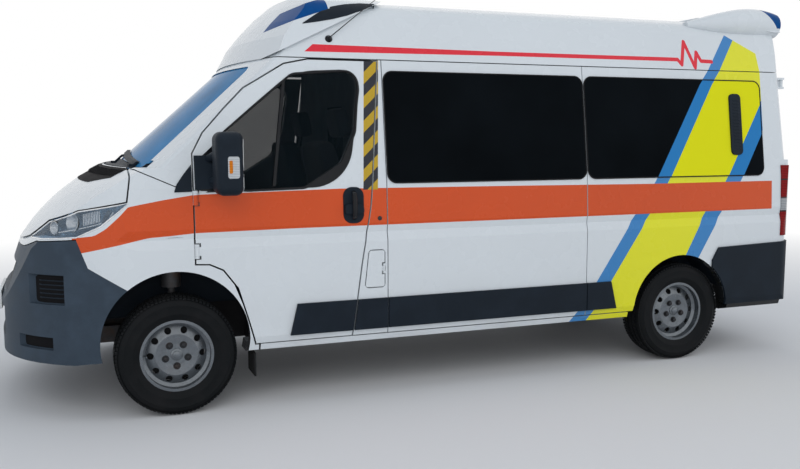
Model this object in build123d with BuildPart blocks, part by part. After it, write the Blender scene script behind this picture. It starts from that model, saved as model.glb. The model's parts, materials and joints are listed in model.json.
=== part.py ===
"""High-roof van ambulance: millimetres, X forward, Y left, Z up, origin on the ground at mid length."""
import os

from build123d import *

os.makedirs("parts", exist_ok=True)

# Driving dimensions of the whole vehicle
LENGTH = 5413.0
FRONT_OVERHANG = 948.0
WHEELBASE = 3450.0
HALF_WIDTH = 1025.0
SILL_Z = 320.0
WAIST_Z = 1290.0
WAIST_HALF_WIDTH = 1008.0
GUTTER_Z = 2033.0
GUTTER_HALF_WIDTH = 905.0
ROOF_EDGE_Z = 2352.0
ROOF_EDGE_HALF_WIDTH = 790.0
ROOF_CROWN_Z = 2465.0
WALL = 55.0
PANEL_GAP = 6.0
DOOR_GAP = 9.0
SEAT_GAP = 0.3

FRONT_X = LENGTH / 2
REAR_X = -LENGTH / 2
FRONT_AXLE_X = FRONT_X - FRONT_OVERHANG
REAR_AXLE_X = FRONT_AXLE_X - WHEELBASE

# Body shape: side section, plan, nose and windscreen
GROOVE_Z = 1005.0
GROOVE_DEPTH = 14.0
GROOVE_HALF_HEIGHT = 55.0
SILL_TUCK = 100.0
SILL_HEIGHT = 100.0
ROOF_EDGE_RADIUS = 150.0
BODY_REAR_X = REAR_X + 61.5
REAR_LEAN = 55.0
REAR_LEAN_Z = 1300.0
REAR_TOP_RADIUS = 110.0
REAR_CORNER_RADIUS = 90.0
NOSE_CORNER_LENGTH = 788.5
NOSE_BOW = 16.5
NOSE_FLAT_HALF = 330.0
NOSE_AXIS_X = FRONT_X - 3506.5
NOSE_OVER = 40.0
BUMPER_FRONT_Z = 500.0
BONNET_LIP = (FRONT_X - 118.0, 960.0)
BONNET_MID = (FRONT_X - 328.0, 1205.0)
BONNET_REAR = (FRONT_X - 636.0, 1402.0)
SCREEN_FOOT = (FRONT_X - 651.5, 1354.0)
SCREEN_SLOPE = -1.12
SCREEN_DROP = 110.0
SCREEN_DROP_Y = 780.0
PILLAR_RADIUS = 50.0
UPPER_LOW_Z = 1060.0
UPPER_HIGH_Z = 2700.0
UPPER_OVER = 4.0

BIG = 3200.0


def half_width(z):
    """Half width of the leaning upper side at height z."""
    lean = (WAIST_HALF_WIDTH - GUTTER_HALF_WIDTH) / (GUTTER_Z - WAIST_Z)
    return WAIST_HALF_WIDTH - lean * (z - WAIST_Z)


def rear_line(z):
    """X of the rear face at height z, upright below the lean and sloping above it."""
    return BODY_REAR_X + REAR_LEAN * max(0.0, z - REAR_LEAN_Z) / (ROOF_CROWN_Z - REAR_LEAN_Z)


def front_prism(points, x_low, x_high):
    """Prism along the vehicle from a front-view outline of (y, z) points."""
    with BuildPart() as prism:
        with BuildSketch(Plane.YZ.offset(x_low)):
            with BuildLine():
                Polyline(*points, close=True)
            make_face()
        extrude(amount=x_high - x_low)
    return prism.part


def block(x, y, z):
    """Rectangular block from (low, high) pairs."""
    with BuildPart() as solid:
        with Locations(((x[0] + x[1]) / 2, (y[0] + y[1]) / 2, (z[0] + z[1]) / 2)):
            Box(x[1] - x[0], y[1] - y[0], z[1] - z[0])
    return solid.part


def round_bar(start, end, radius):
    """Round bar between two points."""
    axis = Vector(*end) - Vector(*start)
    with BuildPart() as bar:
        with BuildSketch(Plane(origin=start, z_dir=axis)):
            Circle(radius)
        extrude(amount=axis.length)
    return bar.part


def common(first, *others, cut=()):
    """What the first solid shares with the others, less the cuts."""
    with BuildPart() as piece:
        add(first)
        for other in others:
            add(other, mode=Mode.INTERSECT)
        for tool in cut:
            add(tool, mode=Mode.SUBTRACT)
    return piece.part


def joined(*solids):
    """Several solids as one part."""
    with BuildPart() as piece:
        for solid in solids:
            add(solid)
    return piece.part


def both_sides(left):
    """A left-hand part together with its mirror image."""
    with BuildPart() as pair:
        add(left)
        mirror(left, about=Plane.XZ)
    return pair.part


def right_hand(left):
    """The mirror image of a left-hand part."""
    with BuildPart() as right:
        mirror(left, about=Plane.XZ)
    return right.part


def write(name, part):
    """Label a finished piece and write its file."""
    part.label = name
    export_step(part, f"parts/{name}.step")


def side_section(inset):
    """Cross-section of the body as a prism over its whole length."""
    with BuildPart() as prism:
        with BuildSketch(Plane.YZ.offset(-BIG)) as face:
            with BuildLine():
                side = [
                    (0, SILL_Z),
                    (HALF_WIDTH - SILL_TUCK, SILL_Z),
                    (HALF_WIDTH - SILL_TUCK / 4, SILL_Z + SILL_HEIGHT / 5),
                    (HALF_WIDTH, SILL_Z + SILL_HEIGHT),
                    (HALF_WIDTH, GROOVE_Z - GROOVE_HALF_HEIGHT),
                    (HALF_WIDTH - GROOVE_DEPTH, GROOVE_Z),
                    (HALF_WIDTH - GROOVE_DEPTH / 3, GROOVE_Z + GROOVE_HALF_HEIGHT),
                    (WAIST_HALF_WIDTH, WAIST_Z),
                    (GUTTER_HALF_WIDTH, GUTTER_Z),
                    (ROOF_EDGE_HALF_WIDTH, ROOF_EDGE_Z),
                ]
                Polyline(*side)
                Polyline(*[(-y, z) for y, z in side])
                ThreePointArc(side[-1], (0, ROOF_CROWN_Z), (-ROOF_EDGE_HALF_WIDTH, ROOF_EDGE_Z))
            make_face()
            fillet(face.vertices().group_by(Axis.Y)[-1], ROOF_EDGE_RADIUS)
            if inset:
                offset(amount=-inset, kind=Kind.INTERSECTION, mode=Mode.REPLACE)
        extrude(amount=2 * BIG)
    return prism.part


def rear_profile(inset):
    """Side view that gives the rear its lean and its rounded top."""
    with BuildPart() as prism:
        with BuildSketch(Plane.XZ.offset(-BIG)) as face:
            with BuildLine():
                Polyline(
                    (BIG, 0),
                    (BODY_REAR_X, 0),
                    (BODY_REAR_X, REAR_LEAN_Z),
                    (rear_line(ROOF_CROWN_Z), ROOF_CROWN_Z),
                    (BIG, ROOF_CROWN_Z),
                    close=True,
                )
            make_face()
            top = face.vertices().group_by(Axis.Y)[-1].sort_by(Axis.X)[0]
            fillet(top, REAR_TOP_RADIUS)
            if inset:
                offset(amount=-inset, kind=Kind.INTERSECTION, mode=Mode.REPLACE)
        extrude(amount=2 * BIG)
    return prism.part


def plan_prism(inset):
    """Plan outline of the body: bowed nose with large round corners, small ones at the rear."""
    with BuildPart() as prism:
        with BuildSketch(Plane.XY) as plan:
            with BuildLine():
                tips = []
                for side in (1, -1):
                    arc = TangentArc(
                        (FRONT_X - NOSE_CORNER_LENGTH, side * HALF_WIDTH),
                        (FRONT_X - NOSE_BOW, side * NOSE_FLAT_HALF),
                        tangent=(1, 0),
                    )
                    tips.append(arc @ 1)
                    Polyline(arc @ 0, (BODY_REAR_X, side * HALF_WIDTH), (BODY_REAR_X, 0))
                ThreePointArc(tips[0], (FRONT_X, 0), tips[1])
            make_face()
            corners = plan.vertices().group_by(Axis.X)[0]
            fillet([v for v in corners if abs(v.Y) > 1], REAR_CORNER_RADIUS)
            if inset:
                offset(amount=-inset, kind=Kind.INTERSECTION, mode=Mode.REPLACE)
        extrude(amount=BIG)
    return prism.part


def nose(inset):
    """Bonnet and front panel turned about a far upright axis, so that they bow across the front."""
    with BuildPart() as turned:
        with BuildSketch(Plane.XZ) as face:
            with BuildLine():
                foot = (FRONT_X + NOSE_OVER, BUMPER_FRONT_Z)
                outline = [(foot[0], 0), foot, BONNET_LIP, BONNET_MID, BONNET_REAR]
                back = [(2 * NOSE_AXIS_X - x, z) for x, z in outline]
                far = NOSE_AXIS_X + BIG
                Polyline((far, 0), back[0], back[1], back[2])
                ThreePointArc(back[2], back[3], back[4])
                Polyline(back[4], (far, BONNET_REAR[1]), (far, 0))
            make_face()
            if inset:
                offset(amount=-inset, kind=Kind.INTERSECTION, mode=Mode.REPLACE)
            split(bisect_by=Plane.YZ.offset(NOSE_AXIS_X), keep=Keep.BOTTOM)
        revolve(axis=Axis((NOSE_AXIS_X, 0, 0), (0, 0, 1)))
    return turned.part


def upper_section(z, inset):
    """Plan outline of the cab and load space at height z: bowed windscreen, rounded corners."""
    front = SCREEN_FOOT[0] + SCREEN_SLOPE * (z - SCREEN_FOOT[1]) - inset * (1 + SCREEN_SLOPE**2) ** 0.5
    half = half_width(z) + UPPER_OVER - inset
    corner_x = front - SCREEN_DROP * (half / SCREEN_DROP_Y) ** 2
    rear = BODY_REAR_X + REAR_LEAN * (z - UPPER_LOW_Z) / (ROOF_CROWN_Z - UPPER_LOW_Z) - UPPER_OVER + inset
    with BuildSketch(Plane.XY.offset(z)) as outline:
        with BuildLine():
            ThreePointArc((corner_x, half), (front, 0), (corner_x, -half))
            Polyline((corner_x, half), (rear, half), (rear, -half), (corner_x, -half))
        make_face()
        groups = outline.vertices().group_by(Axis.X)
        fillet(groups[-1], PILLAR_RADIUS)
        fillet(outline.vertices().group_by(Axis.X)[0], REAR_CORNER_RADIUS)
    return outline.sketch


def upper_body(inset):
    """Cab and load space above the waist, from two plan outlines."""
    with BuildPart() as upper:
        loft([upper_section(z, inset) for z in (UPPER_LOW_Z, UPPER_HIGH_Z)], ruled=True)
    return upper.part


def body_volume(inset=0.0):
    """Whole outside of the body, moved inwards by inset."""
    with BuildPart() as volume:
        add(nose(inset))
        add(upper_body(inset))
        add(plan_prism(inset), mode=Mode.INTERSECT)
        add(side_section(inset), mode=Mode.INTERSECT)
        add(rear_profile(inset), mode=Mode.INTERSECT)
    return volume.part

# Panel lines, as distances from an axle or heights above the ground
SIDE_LOW_Z = SILL_Z + WALL + PANEL_GAP
SIDE_HIGH_Z = GUTTER_Z - PANEL_GAP / 2
ROOF_LOW_Z = GUTTER_Z + PANEL_GAP / 2
DOOR_FRONT_X = FRONT_AXLE_X - 115.5
DOOR_TOP_Z = SIDE_HIGH_Z - DOOR_GAP
B_SEAM_X = FRONT_AXLE_X - 1256.5
C_SEAM_X = FRONT_AXLE_X - 2666.5
FRONT_ARCH_RADIUS = 410.0
FRONT_ARCH_Z = 418.0
REAR_ARCH_RADIUS = 390.0
REAR_ARCH_Z = 360.0
REAR_ARCH_SHIFT = 11.5
FLOOR_Z = 540.0
FLOOR_THICK = 40.0
SILL_WALL_Y = 885.0
REAR_DOOR_LOW_Z = 560.0
REAR_DOOR_HIGH_Z = 2200.0
REAR_DOOR_HALF = 830.0
REAR_DOOR_TOP_HALF = 765.0
DOOR_SKIN = 15.0
DOOR_STEP = 12.0
BONNET_SKIN = 25.0
BONNET_REAR_RADIUS = BONNET_REAR[0] - NOSE_AXIS_X + 6.0
COWL_HALF = 768.0
COWL_GAP = 14.0

# Door outline, columns: x from the front axle, z
DOOR_ARCH_EDGE = ((-446, SIDE_LOW_Z), (-406, 530), (-350, 715), (-268, 825), (-190, 862))
DOOR_PILLAR_EDGE = ((-178, 1594), (-296, 1723), (-420, 1848), (-658, 1991), (-800, DOOR_TOP_Z))
DOOR_REAR_EDGE = ((-1226, DOOR_TOP_Z), (-1149, 1166), (-1089, 825), (-1030, 414), (-1025, SIDE_LOW_Z))
DOOR_FRONT_LOW_Z = 866.0
DOOR_FRONT_HIGH_Z = 1480.0
DOOR_WINDOW_CORNER = 85.0
DOOR_WINDOW = (
    (-1112, 1968),
    (-1068, 1597),
    (-980, 1418),
    (-755, 1279),
    (-381, 1267),
    (-203, 1472),
    (-288, 1596),
    (-698, 1934),
)


def from_axle(points):
    """Side-view points measured from the front axle, in the vehicle's frame."""
    return [(FRONT_AXLE_X + x, z) for x, z in points]


door_points = from_axle(DOOR_ARCH_EDGE)
door_points += [(DOOR_FRONT_X, DOOR_FRONT_LOW_Z), (DOOR_FRONT_X, DOOR_FRONT_HIGH_Z)]
door_points += from_axle(DOOR_PILLAR_EDGE) + from_axle(DOOR_REAR_EDGE)


def grown_prism(points, grow, y_low, y_high, corner=0.0):
    """Side-view prism with its outline moved outwards by grow, corners rounded first."""
    with BuildPart() as prism:
        with BuildSketch(Plane.XZ.offset(-y_low)) as face:
            with BuildLine():
                Polyline(*points, close=True)
            make_face()
            if corner:
                fillet(face.vertices(), corner)
            if grow:
                offset(amount=grow, kind=Kind.INTERSECTION, mode=Mode.REPLACE)
        extrude(amount=y_low - y_high)
    return prism.part


def cross_cylinder(x, z, radius, y_low, y_high):
    """Cylinder across the vehicle."""
    return round_bar((x, y_low, z), (x, y_high, z), radius)


outer = body_volume(0.0)
inner = body_volume(WALL)
seat = body_volume(WALL + SEAT_GAP)
shell = common(outer, cut=[inner])
left_half = block((-BIG, BIG), (0, BIG), (0, BIG))
left_shell = common(shell, left_half)

front_arch = cross_cylinder(FRONT_AXLE_X, FRONT_ARCH_Z, FRONT_ARCH_RADIUS, 700, 1200)
rear_arch_x = REAR_AXLE_X + REAR_ARCH_SHIFT
rear_arch = cross_cylinder(rear_arch_x, REAR_ARCH_Z, REAR_ARCH_RADIUS, 700, 1200)
door_room = common(grown_prism(door_points, DOOR_GAP, 600, 1200), cut=[side_section(WALL + DOOR_GAP)])
glass_out = body_volume(6.0)
glass_in = body_volume(13.0)
glass_layer = common(glass_out, cut=[glass_in])
skin_in = body_volume(DOOR_SKIN)
thin_in = body_volume(BONNET_SKIN)
lamp_in = body_volume(70.0)
on_skin = body_volume(-SEAT_GAP)
pane_layer = common(body_volume(-5.3), cut=[on_skin])
trim_layer = common(body_volume(-14.0), cut=[on_skin])

# Bonnet, lamp and bumper lines in side view, columns: x from the front axle, z
LAMP_OUTLINE = ((240, 1213), (492, 1172), (642, 1102), (747, 1008), (682, 1020), (509, 1031), (382, 1092))
BONNET_EDGE = ((217, 1500), (232, 1340), (249, 1224), (496, 1181), (646, 1111), (757, 1012), (822, 968))
BUMPER_EDGE = ((250, 731), (456, 863), (510, 1015), (712, 1000), (790, 950), (1000, 880))
WING_FRONT = 510.0
WING_TOP = ((-106, 1297), (-13, 1297), (192, 1389), (WING_FRONT, 1389))

bonnet_points = from_axle(BONNET_EDGE) + [(BIG, BONNET_EDGE[-1][1]), (BIG, BONNET_EDGE[0][1])]
bumper_rear_x = FRONT_AXLE_X + BUMPER_EDGE[0][0]
bumper_points = from_axle(BUMPER_EDGE) + [(BIG, BUMPER_EDGE[-1][1]), (BIG, 0), (bumper_rear_x, 0)]
bonnet_room = grown_prism(bonnet_points, DOOR_GAP, -1200, 1200)
lamp_room = grown_prism(from_axle(LAMP_OUTLINE), SEAT_GAP, 300, 1200)
bumper_room = grown_prism(bumper_points, SEAT_GAP, -1200, 1200)

# Windscreen opening in front view
SCREEN_LOW_HALF = 785.0
SCREEN_HIGH_HALF = 712.0
SCREEN_LOW_Z = 1385.0
SCREEN_LOW_MID_Z = 1428.0
SCREEN_HIGH_Z = 1990.0
SCREEN_CORNER = 60.0


def screen_prism(grow):
    """Windscreen outline in front view, carried through the front of the cab."""
    with BuildPart() as prism:
        with BuildSketch(Plane.YZ.offset(FRONT_AXLE_X - 700)) as face:
            with BuildLine():
                low = (SCREEN_LOW_HALF, SCREEN_LOW_Z)
                ThreePointArc(low, (0, SCREEN_LOW_MID_Z), (-low[0], low[1]))
                Polyline(
                    low,
                    (SCREEN_HIGH_HALF, SCREEN_HIGH_Z),
                    (-SCREEN_HIGH_HALF, SCREEN_HIGH_Z),
                    (-low[0], low[1]),
                )
            make_face()
            fillet(face.vertices(), SCREEN_CORNER)
            if grow:
                offset(amount=grow, kind=Kind.INTERSECTION, mode=Mode.REPLACE)
        extrude(amount=1200)
    return prism.part


screen_hole = screen_prism(0)

# Bonnet hinges at the foot of the windscreen pillars
BONNET_HINGE_X = FRONT_AXLE_X + 206.5
BONNET_HINGE_Z = 1385.0
BONNET_HINGE_Y = 802.0
BONNET_HINGE_WIDTH = 20.0
bonnet_hinge_half = block(
    (BONNET_HINGE_X - 22, BONNET_HINGE_X + 40),
    (BONNET_HINGE_Y - 28, BONNET_HINGE_Y + 28),
    (1250, 1440),
)
bonnet_hinge_space = both_sides(bonnet_hinge_half)

# Cab frame: windscreen pillars and header
frame_points = from_axle(WING_TOP[:3])
frame_points = [(x, z + PANEL_GAP) for x, z in frame_points]
frame_points += [(FRONT_AXLE_X + 600, WING_TOP[2][1] + PANEL_GAP), (FRONT_AXLE_X + 600, SIDE_HIGH_Z)]
frame_points += [(FRONT_AXLE_X - 1000, SIDE_HIGH_Z), (FRONT_AXLE_X - 1000, SIDE_HIGH_Z - 20)]
cowl_zone = block((FRONT_AXLE_X + 80, FRONT_AXLE_X + 420), (-COWL_HALF, COWL_HALF), (1250, 1480))
cowl_space = block((FRONT_AXLE_X + 80, FRONT_AXLE_X + 420), (-COWL_HALF - 60, COWL_HALF + 60), (1250, 1440))
cab_frame = common(
    shell,
    grown_prism(frame_points, 0, -1200, 1200),
    cut=[door_room, right_hand(door_room), screen_hole, cowl_space, bonnet_room, bonnet_hinge_space],
)
write("cab_frame", cab_frame)

cowl_disc = round_bar((NOSE_AXIS_X, 0, 1200), (NOSE_AXIS_X, 0, 1600), BONNET_REAR_RADIUS - COWL_GAP)
cowl = common(shell, cowl_zone, cowl_disc, cut=[screen_hole])
write("cowl", cowl)

screen_disc = round_bar(
    (NOSE_AXIS_X, 0, 1200),
    (NOSE_AXIS_X, 0, ROOF_CROWN_Z),
    BONNET_REAR_RADIUS - COWL_GAP,
)
windscreen = common(glass_layer, screen_prism(-SEAT_GAP), screen_disc)
write("windscreen", windscreen)

# Wings, bonnet, headlamps, bumper
wing_points = [(FRONT_AXLE_X - 462, SILL_Z - 10), (FRONT_AXLE_X - 462, SIDE_LOW_Z)]
wing_points += from_axle(WING_TOP) + [(FRONT_AXLE_X + WING_FRONT, SILL_Z - 10)]
wing_left = common(
    left_shell,
    grown_prism(wing_points, 0, 0, 1200),
    block((-BIG, BIG), (800, BIG), (0, BIG)),
    cut=[door_room, front_arch, bonnet_room, lamp_room, bumper_room, bonnet_hinge_space],
)
write("wings", both_sides(wing_left))

bonnet_disc = round_bar((NOSE_AXIS_X, 0, 800), (NOSE_AXIS_X, 0, 1600), BONNET_REAR_RADIUS)
bonnet_skin = common(outer, grown_prism(bonnet_points, 0, -1200, 1200), cut=[thin_in, bonnet_disc])

lamp_left = common(outer, grown_prism(from_axle(LAMP_OUTLINE), 0, 300, 1200), cut=[lamp_in])
write("headlamps", both_sides(lamp_left))

front_panel_points = [(x, z + PANEL_GAP) for x, z in from_axle(BUMPER_EDGE[2:])]
front_panel_points += [(BIG, BUMPER_EDGE[-1][1] + PANEL_GAP), (BIG, 1100), (FRONT_AXLE_X + 516, 1100)]
front_panel = common(
    shell,
    grown_prism(front_panel_points, 0, -1200, 1200),
    cut=[bonnet_room, lamp_room, right_hand(lamp_room)],
)
write("front_panel", front_panel)

INTAKE_HALF = 430.0
INTAKE_LOW_Z = 420.0
INTAKE_HIGH_Z = 590.0
GRILLE_HALF = 470.0
GRILLE_LOW_Z = 690.0
GRILLE_HIGH_Z = 850.0
intake = block((FRONT_X - 300, BIG), (-INTAKE_HALF, INTAKE_HALF), (INTAKE_LOW_Z, INTAKE_HIGH_Z))
grille_hole = block((FRONT_X - 300, BIG), (-GRILLE_HALF, GRILLE_HALF), (GRILLE_LOW_Z, GRILLE_HIGH_Z))
bumper_front = common(
    shell,
    grown_prism(bumper_points, 0, -1200, 1200),
    block((bumper_rear_x, BIG), (-BIG, BIG), (0, BIG)),
    cut=[front_arch, right_hand(front_arch), intake, grille_hole],
)
under_cut = common(plan_prism(WALL), block((0, BIG), (-BIG, BIG), (0, SILL_Z + WALL + 1)))
# Recesses at the bumper's corners, columns: y low, y high, z low, z high
BUMPER_RECESSES = ((735.0, 900.0, 655.0, 822.0), (640.0, 850.0, 398.0, 470.0))
recesses = []
for y_low, y_high, z_low, z_high in BUMPER_RECESSES:
    pocket = common(block((FRONT_AXLE_X, BIG), (y_low, y_high), (z_low, z_high)), cut=[thin_in])
    recesses += [pocket, right_hand(pocket)]
bumper_front = common(bumper_front, cut=[under_cut, *recesses])
write("bumper_front", bumper_front)

# Side panels: pillar, middle and rear piece between the seams
FLAP_OUTLINE = ((-1234, 669), (-1234, 891), (-1138, 891), (-1112, 669))
FLAP_SKIN = 12.0
FLAP_POCKET = 45.0
PANE_LOW_Z = 1295.0
PANE_HIGH_Z = 1965.0
PANE_REAR_X = REAR_AXLE_X - 698.5
PANE_CORNER = 60.0
PANE_LAP = 45.0
TAIL_LAMP_LOW_Z = 852.0
TAIL_LAMP_HIGH_Z = 1363.0
TAIL_LAMP_DEPTH = 95.0
TAIL_LAMP_HALF = 862.0

pillar_points = [(B_SEAM_X + PANEL_GAP / 2, SIDE_LOW_Z), (B_SEAM_X + PANEL_GAP / 2, SIDE_HIGH_Z)]
pillar_points += [(FRONT_AXLE_X - 900, SIDE_HIGH_Z), (FRONT_AXLE_X - 900, SIDE_LOW_Z)]
middle_points = [
    (C_SEAM_X + PANEL_GAP / 2, SIDE_LOW_Z),
    (C_SEAM_X + PANEL_GAP / 2, SIDE_HIGH_Z),
    (B_SEAM_X - PANEL_GAP / 2, SIDE_HIGH_Z),
    (B_SEAM_X - PANEL_GAP / 2, SIDE_LOW_Z),
]
rear_points = [
    (-BIG, SIDE_LOW_Z),
    (-BIG, SIDE_HIGH_Z),
    (C_SEAM_X - PANEL_GAP / 2, SIDE_HIGH_Z),
    (C_SEAM_X - PANEL_GAP / 2, SIDE_LOW_Z),
]


def pane_points(x_low, x_high):
    """Rectangle of a bonded side pane in side view."""
    return [(x_low, PANE_LOW_Z), (x_low, PANE_HIGH_Z), (x_high, PANE_HIGH_Z), (x_high, PANE_LOW_Z)]


middle_pane = pane_points(C_SEAM_X + PANEL_GAP, B_SEAM_X - PANEL_GAP)
rear_pane = pane_points(PANE_REAR_X, C_SEAM_X - PANEL_GAP)
middle_hole = grown_prism(middle_pane, -PANE_LAP, 700, 1200, corner=PANE_CORNER)
rear_hole = grown_prism(rear_pane, -PANE_LAP, 700, 1200, corner=PANE_CORNER)

flap_room = common(
    grown_prism(from_axle(FLAP_OUTLINE), PANEL_GAP, 900, 1200, corner=20),
    cut=[body_volume(FLAP_POCKET)],
)
outside = block((-BIG, BIG), (REAR_DOOR_HALF + DOOR_GAP, BIG), (0, BIG))
tail_lamp_zone = block(
    (-BIG, BODY_REAR_X + TAIL_LAMP_DEPTH),
    (TAIL_LAMP_HALF, BIG),
    (TAIL_LAMP_LOW_Z, TAIL_LAMP_HIGH_Z),
)
tail_lamp_room = block(
    (-BIG, BODY_REAR_X + TAIL_LAMP_DEPTH + SEAT_GAP),
    (TAIL_LAMP_HALF - SEAT_GAP, BIG),
    (TAIL_LAMP_LOW_Z - SEAT_GAP, TAIL_LAMP_HIGH_Z + SEAT_GAP),
)

pillar_whole = common(left_shell, grown_prism(pillar_points, 0, 600, 1200), cut=[door_room])
pillar_left = common(pillar_whole, cut=[flap_room])
middle_left = common(left_shell, grown_prism(middle_points, 0, 600, 1200), cut=[middle_hole])
rear_left = common(
    left_shell,
    grown_prism(rear_points, 0, 600, 1200),
    outside,
    cut=[rear_hole, rear_arch, tail_lamp_room],
)
write("side_left", joined(pillar_left, middle_left, rear_left))
write("side_right", joined(right_hand(pillar_whole), right_hand(rear_left)))
write("sliding_door", right_hand(middle_left))

middle_glass = common(pane_layer, grown_prism(middle_pane, 0, 700, 1200, corner=PANE_CORNER))
rear_glass = common(pane_layer, grown_prism(rear_pane, 0, 700, 1200, corner=PANE_CORNER))
write("side_glass", both_sides(joined(middle_glass, rear_glass)))

tail_lamp = common(body_volume(-8.0), tail_lamp_zone, cut=[body_volume(45.0)])
write("tail_lamps", both_sides(tail_lamp))

# Roof with the header over the rear doors
rear_door_points = [
    (DOOR_GAP / 2, REAR_DOOR_LOW_Z),
    (REAR_DOOR_HALF, REAR_DOOR_LOW_Z),
    (REAR_DOOR_HALF, ROOF_LOW_Z),
    (REAR_DOOR_TOP_HALF, REAR_DOOR_HIGH_Z),
    (DOOR_GAP / 2, REAR_DOOR_HIGH_Z),
]


def rear_door_prism(grow):
    """Front-view prism of the left rear door, its outline moved outwards by grow."""
    with BuildPart() as prism:
        with BuildSketch(Plane.YZ.offset(-BIG)):
            with BuildLine():
                Polyline(*rear_door_points, close=True)
            make_face()
            if grow:
                offset(amount=grow, kind=Kind.INTERSECTION, mode=Mode.REPLACE)
        extrude(amount=BIG + BODY_REAR_X + 2 * WALL + REAR_LEAN)
    return prism.part


rear_door_room = rear_door_prism(DOOR_GAP)
roof = common(
    shell,
    block((-BIG, BIG), (-BIG, BIG), (ROOF_LOW_Z, BIG)),
    cut=[rear_door_room, right_hand(rear_door_room)],
)
write("roof", roof)

# Floor: sill feet under the sides, sill walls, load floor and the wall under the rear doors
HOUSING_INNER_Y = 740.0
HOUSING_WALL = 10.0
REAR_HOUSING_RADIUS = REAR_ARCH_RADIUS + 25.0
FRONT_HOUSING_RADIUS = FRONT_ARCH_RADIUS + 55.0
FRONT_HOUSING_Y = 570.0
FLOOR_FRONT_X = FRONT_AXLE_X - 472.0
rear_box_room = cross_cylinder(
    rear_arch_x,
    REAR_ARCH_Z,
    REAR_HOUSING_RADIUS + HOUSING_WALL + SEAT_GAP,
    HOUSING_INNER_Y - HOUSING_WALL,
    1200,
)
front_box_room = cross_cylinder(
    FRONT_AXLE_X,
    FRONT_ARCH_Z,
    FRONT_HOUSING_RADIUS + HOUSING_WALL + SEAT_GAP,
    FRONT_HOUSING_Y - HOUSING_WALL,
    1200,
)
feet = common(
    outer,
    block((BODY_REAR_X + WALL, FLOOR_FRONT_X), (-BIG, BIG), (0, SIDE_LOW_Z - PANEL_GAP)),
)
plate = common(
    seat,
    block((-BIG, FLOOR_FRONT_X), (-BIG, BIG), (SIDE_LOW_Z - PANEL_GAP - 1, FLOOR_Z)),
)
rear_wall = common(
    shell,
    block(
        (-BIG, BODY_REAR_X + WALL + 2),
        (-REAR_DOOR_HALF, REAR_DOOR_HALF),
        (0, REAR_DOOR_LOW_Z - DOOR_GAP),
    ),
)
sill_core = block(
    (BODY_REAR_X + WALL, FLOOR_FRONT_X),
    (SILL_WALL_Y - 2, SILL_WALL_Y + 15),
    (SILL_Z + 10, FLOOR_Z - 5),
)
rear_core = block(
    (BODY_REAR_X + WALL - 5, BODY_REAR_X + WALL + 30),
    (-REAR_DOOR_HALF + 20, REAR_DOOR_HALF - 20),
    (SILL_Z + 10, FLOOR_Z),
)
under_space = block(
    (BODY_REAR_X + 2 * WALL, BIG),
    (-SILL_WALL_Y, SILL_WALL_Y),
    (0, FLOOR_Z - FLOOR_THICK),
)
floor = common(
    joined(feet, plate, rear_wall, rear_core, both_sides(sill_core)),
    cut=[under_space, rear_box_room, right_hand(rear_box_room)],
)
write("floor", floor)


# Wheel housings: quarter drums with an inner wall
def housing(x, z, radius, inner_y, low_z):
    """Left wheel housing: a drum shell closed on its inner side, cut off below."""
    drum = cross_cylinder(x, z, radius + HOUSING_WALL, inner_y - HOUSING_WALL, 1200)
    hollow = cross_cylinder(x, z, radius, inner_y, 1200)
    upper = block((-BIG, BIG), (0, BIG), (low_z, BIG))
    return common(seat, drum, upper, cut=[hollow])


floor_low_z = FLOOR_Z - FLOOR_THICK
rear_housing = housing(rear_arch_x, REAR_ARCH_Z, REAR_HOUSING_RADIUS, HOUSING_INNER_Y, floor_low_z)
front_housing = housing(FRONT_AXLE_X, FRONT_ARCH_Z, FRONT_HOUSING_RADIUS, FRONT_HOUSING_Y, floor_low_z)
write("wheel_housings", both_sides(joined(rear_housing, front_housing)))

# Firewall and cab floor between the front housings
FIREWALL_X = FRONT_AXLE_X + 150.0
FIREWALL_THICK = 40.0
FIREWALL_TOP_Z = 1335.0
wall_plate = block((FIREWALL_X, FIREWALL_X + FIREWALL_THICK), (-BIG, BIG), (floor_low_z, FIREWALL_TOP_Z))
cab_plate = block((FLOOR_FRONT_X + SEAT_GAP, FIREWALL_X + 1), (-BIG, BIG), (FLOOR_Z - FLOOR_THICK, FLOOR_Z))
firewall = common(seat, joined(wall_plate, cab_plate), cut=[front_box_room, right_hand(front_box_room)])
write("firewall", firewall)

# Hinges: a pin between two lugs on the body, a barrel on the moving panel
PIN_RADIUS = 7.0
BARREL_RADIUS = 14.0
BARREL_HALF = 25.0
LUG_HEIGHT = 15.0
PIN_CLEAR = 0.3
END_CLEAR = 0.5
SWING_CLEAR = 6.0
DOOR_HINGE_X = DOOR_FRONT_X - 6.0
DOOR_HINGE_Y = HALF_WIDTH - 7.0
DOOR_HINGE_HEIGHTS = (935.0, 1235.0)
REAR_HINGE_X = BODY_REAR_X - 30.0
REAR_HINGE_Y = REAR_DOOR_HALF + DOOR_GAP / 2
REAR_HINGE_HEIGHTS = (900.0, 1430.0, 1960.0)
REAR_ARM = 25.0


def barrel(x, y, z):
    """Upright hinge barrel, without its bore."""
    return round_bar((x, y, z - BARREL_HALF), (x, y, z + BARREL_HALF), BARREL_RADIUS)


def bore(x, y, z):
    """Bore of an upright barrel, with running clearance on the pin."""
    return round_bar((x, y, z - BARREL_HALF), (x, y, z + BARREL_HALF), PIN_RADIUS + PIN_CLEAR)


def pin_and_lugs(x, y, z, foot):
    """Upright pin with a lug at each end, each lug joined to its foot block (x and y ranges)."""
    reach = BARREL_HALF + END_CLEAR + LUG_HEIGHT
    with BuildPart() as hinge:
        add(round_bar((x, y, z - reach), (x, y, z + reach), PIN_RADIUS))
        for low, high in ((-reach, -reach + LUG_HEIGHT), (reach - LUG_HEIGHT, reach)):
            add(round_bar((x, y, z + low), (x, y, z + high), BARREL_RADIUS))
            add(block(foot[0], foot[1], (z + low, z + high)))
    return hinge.part


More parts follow.
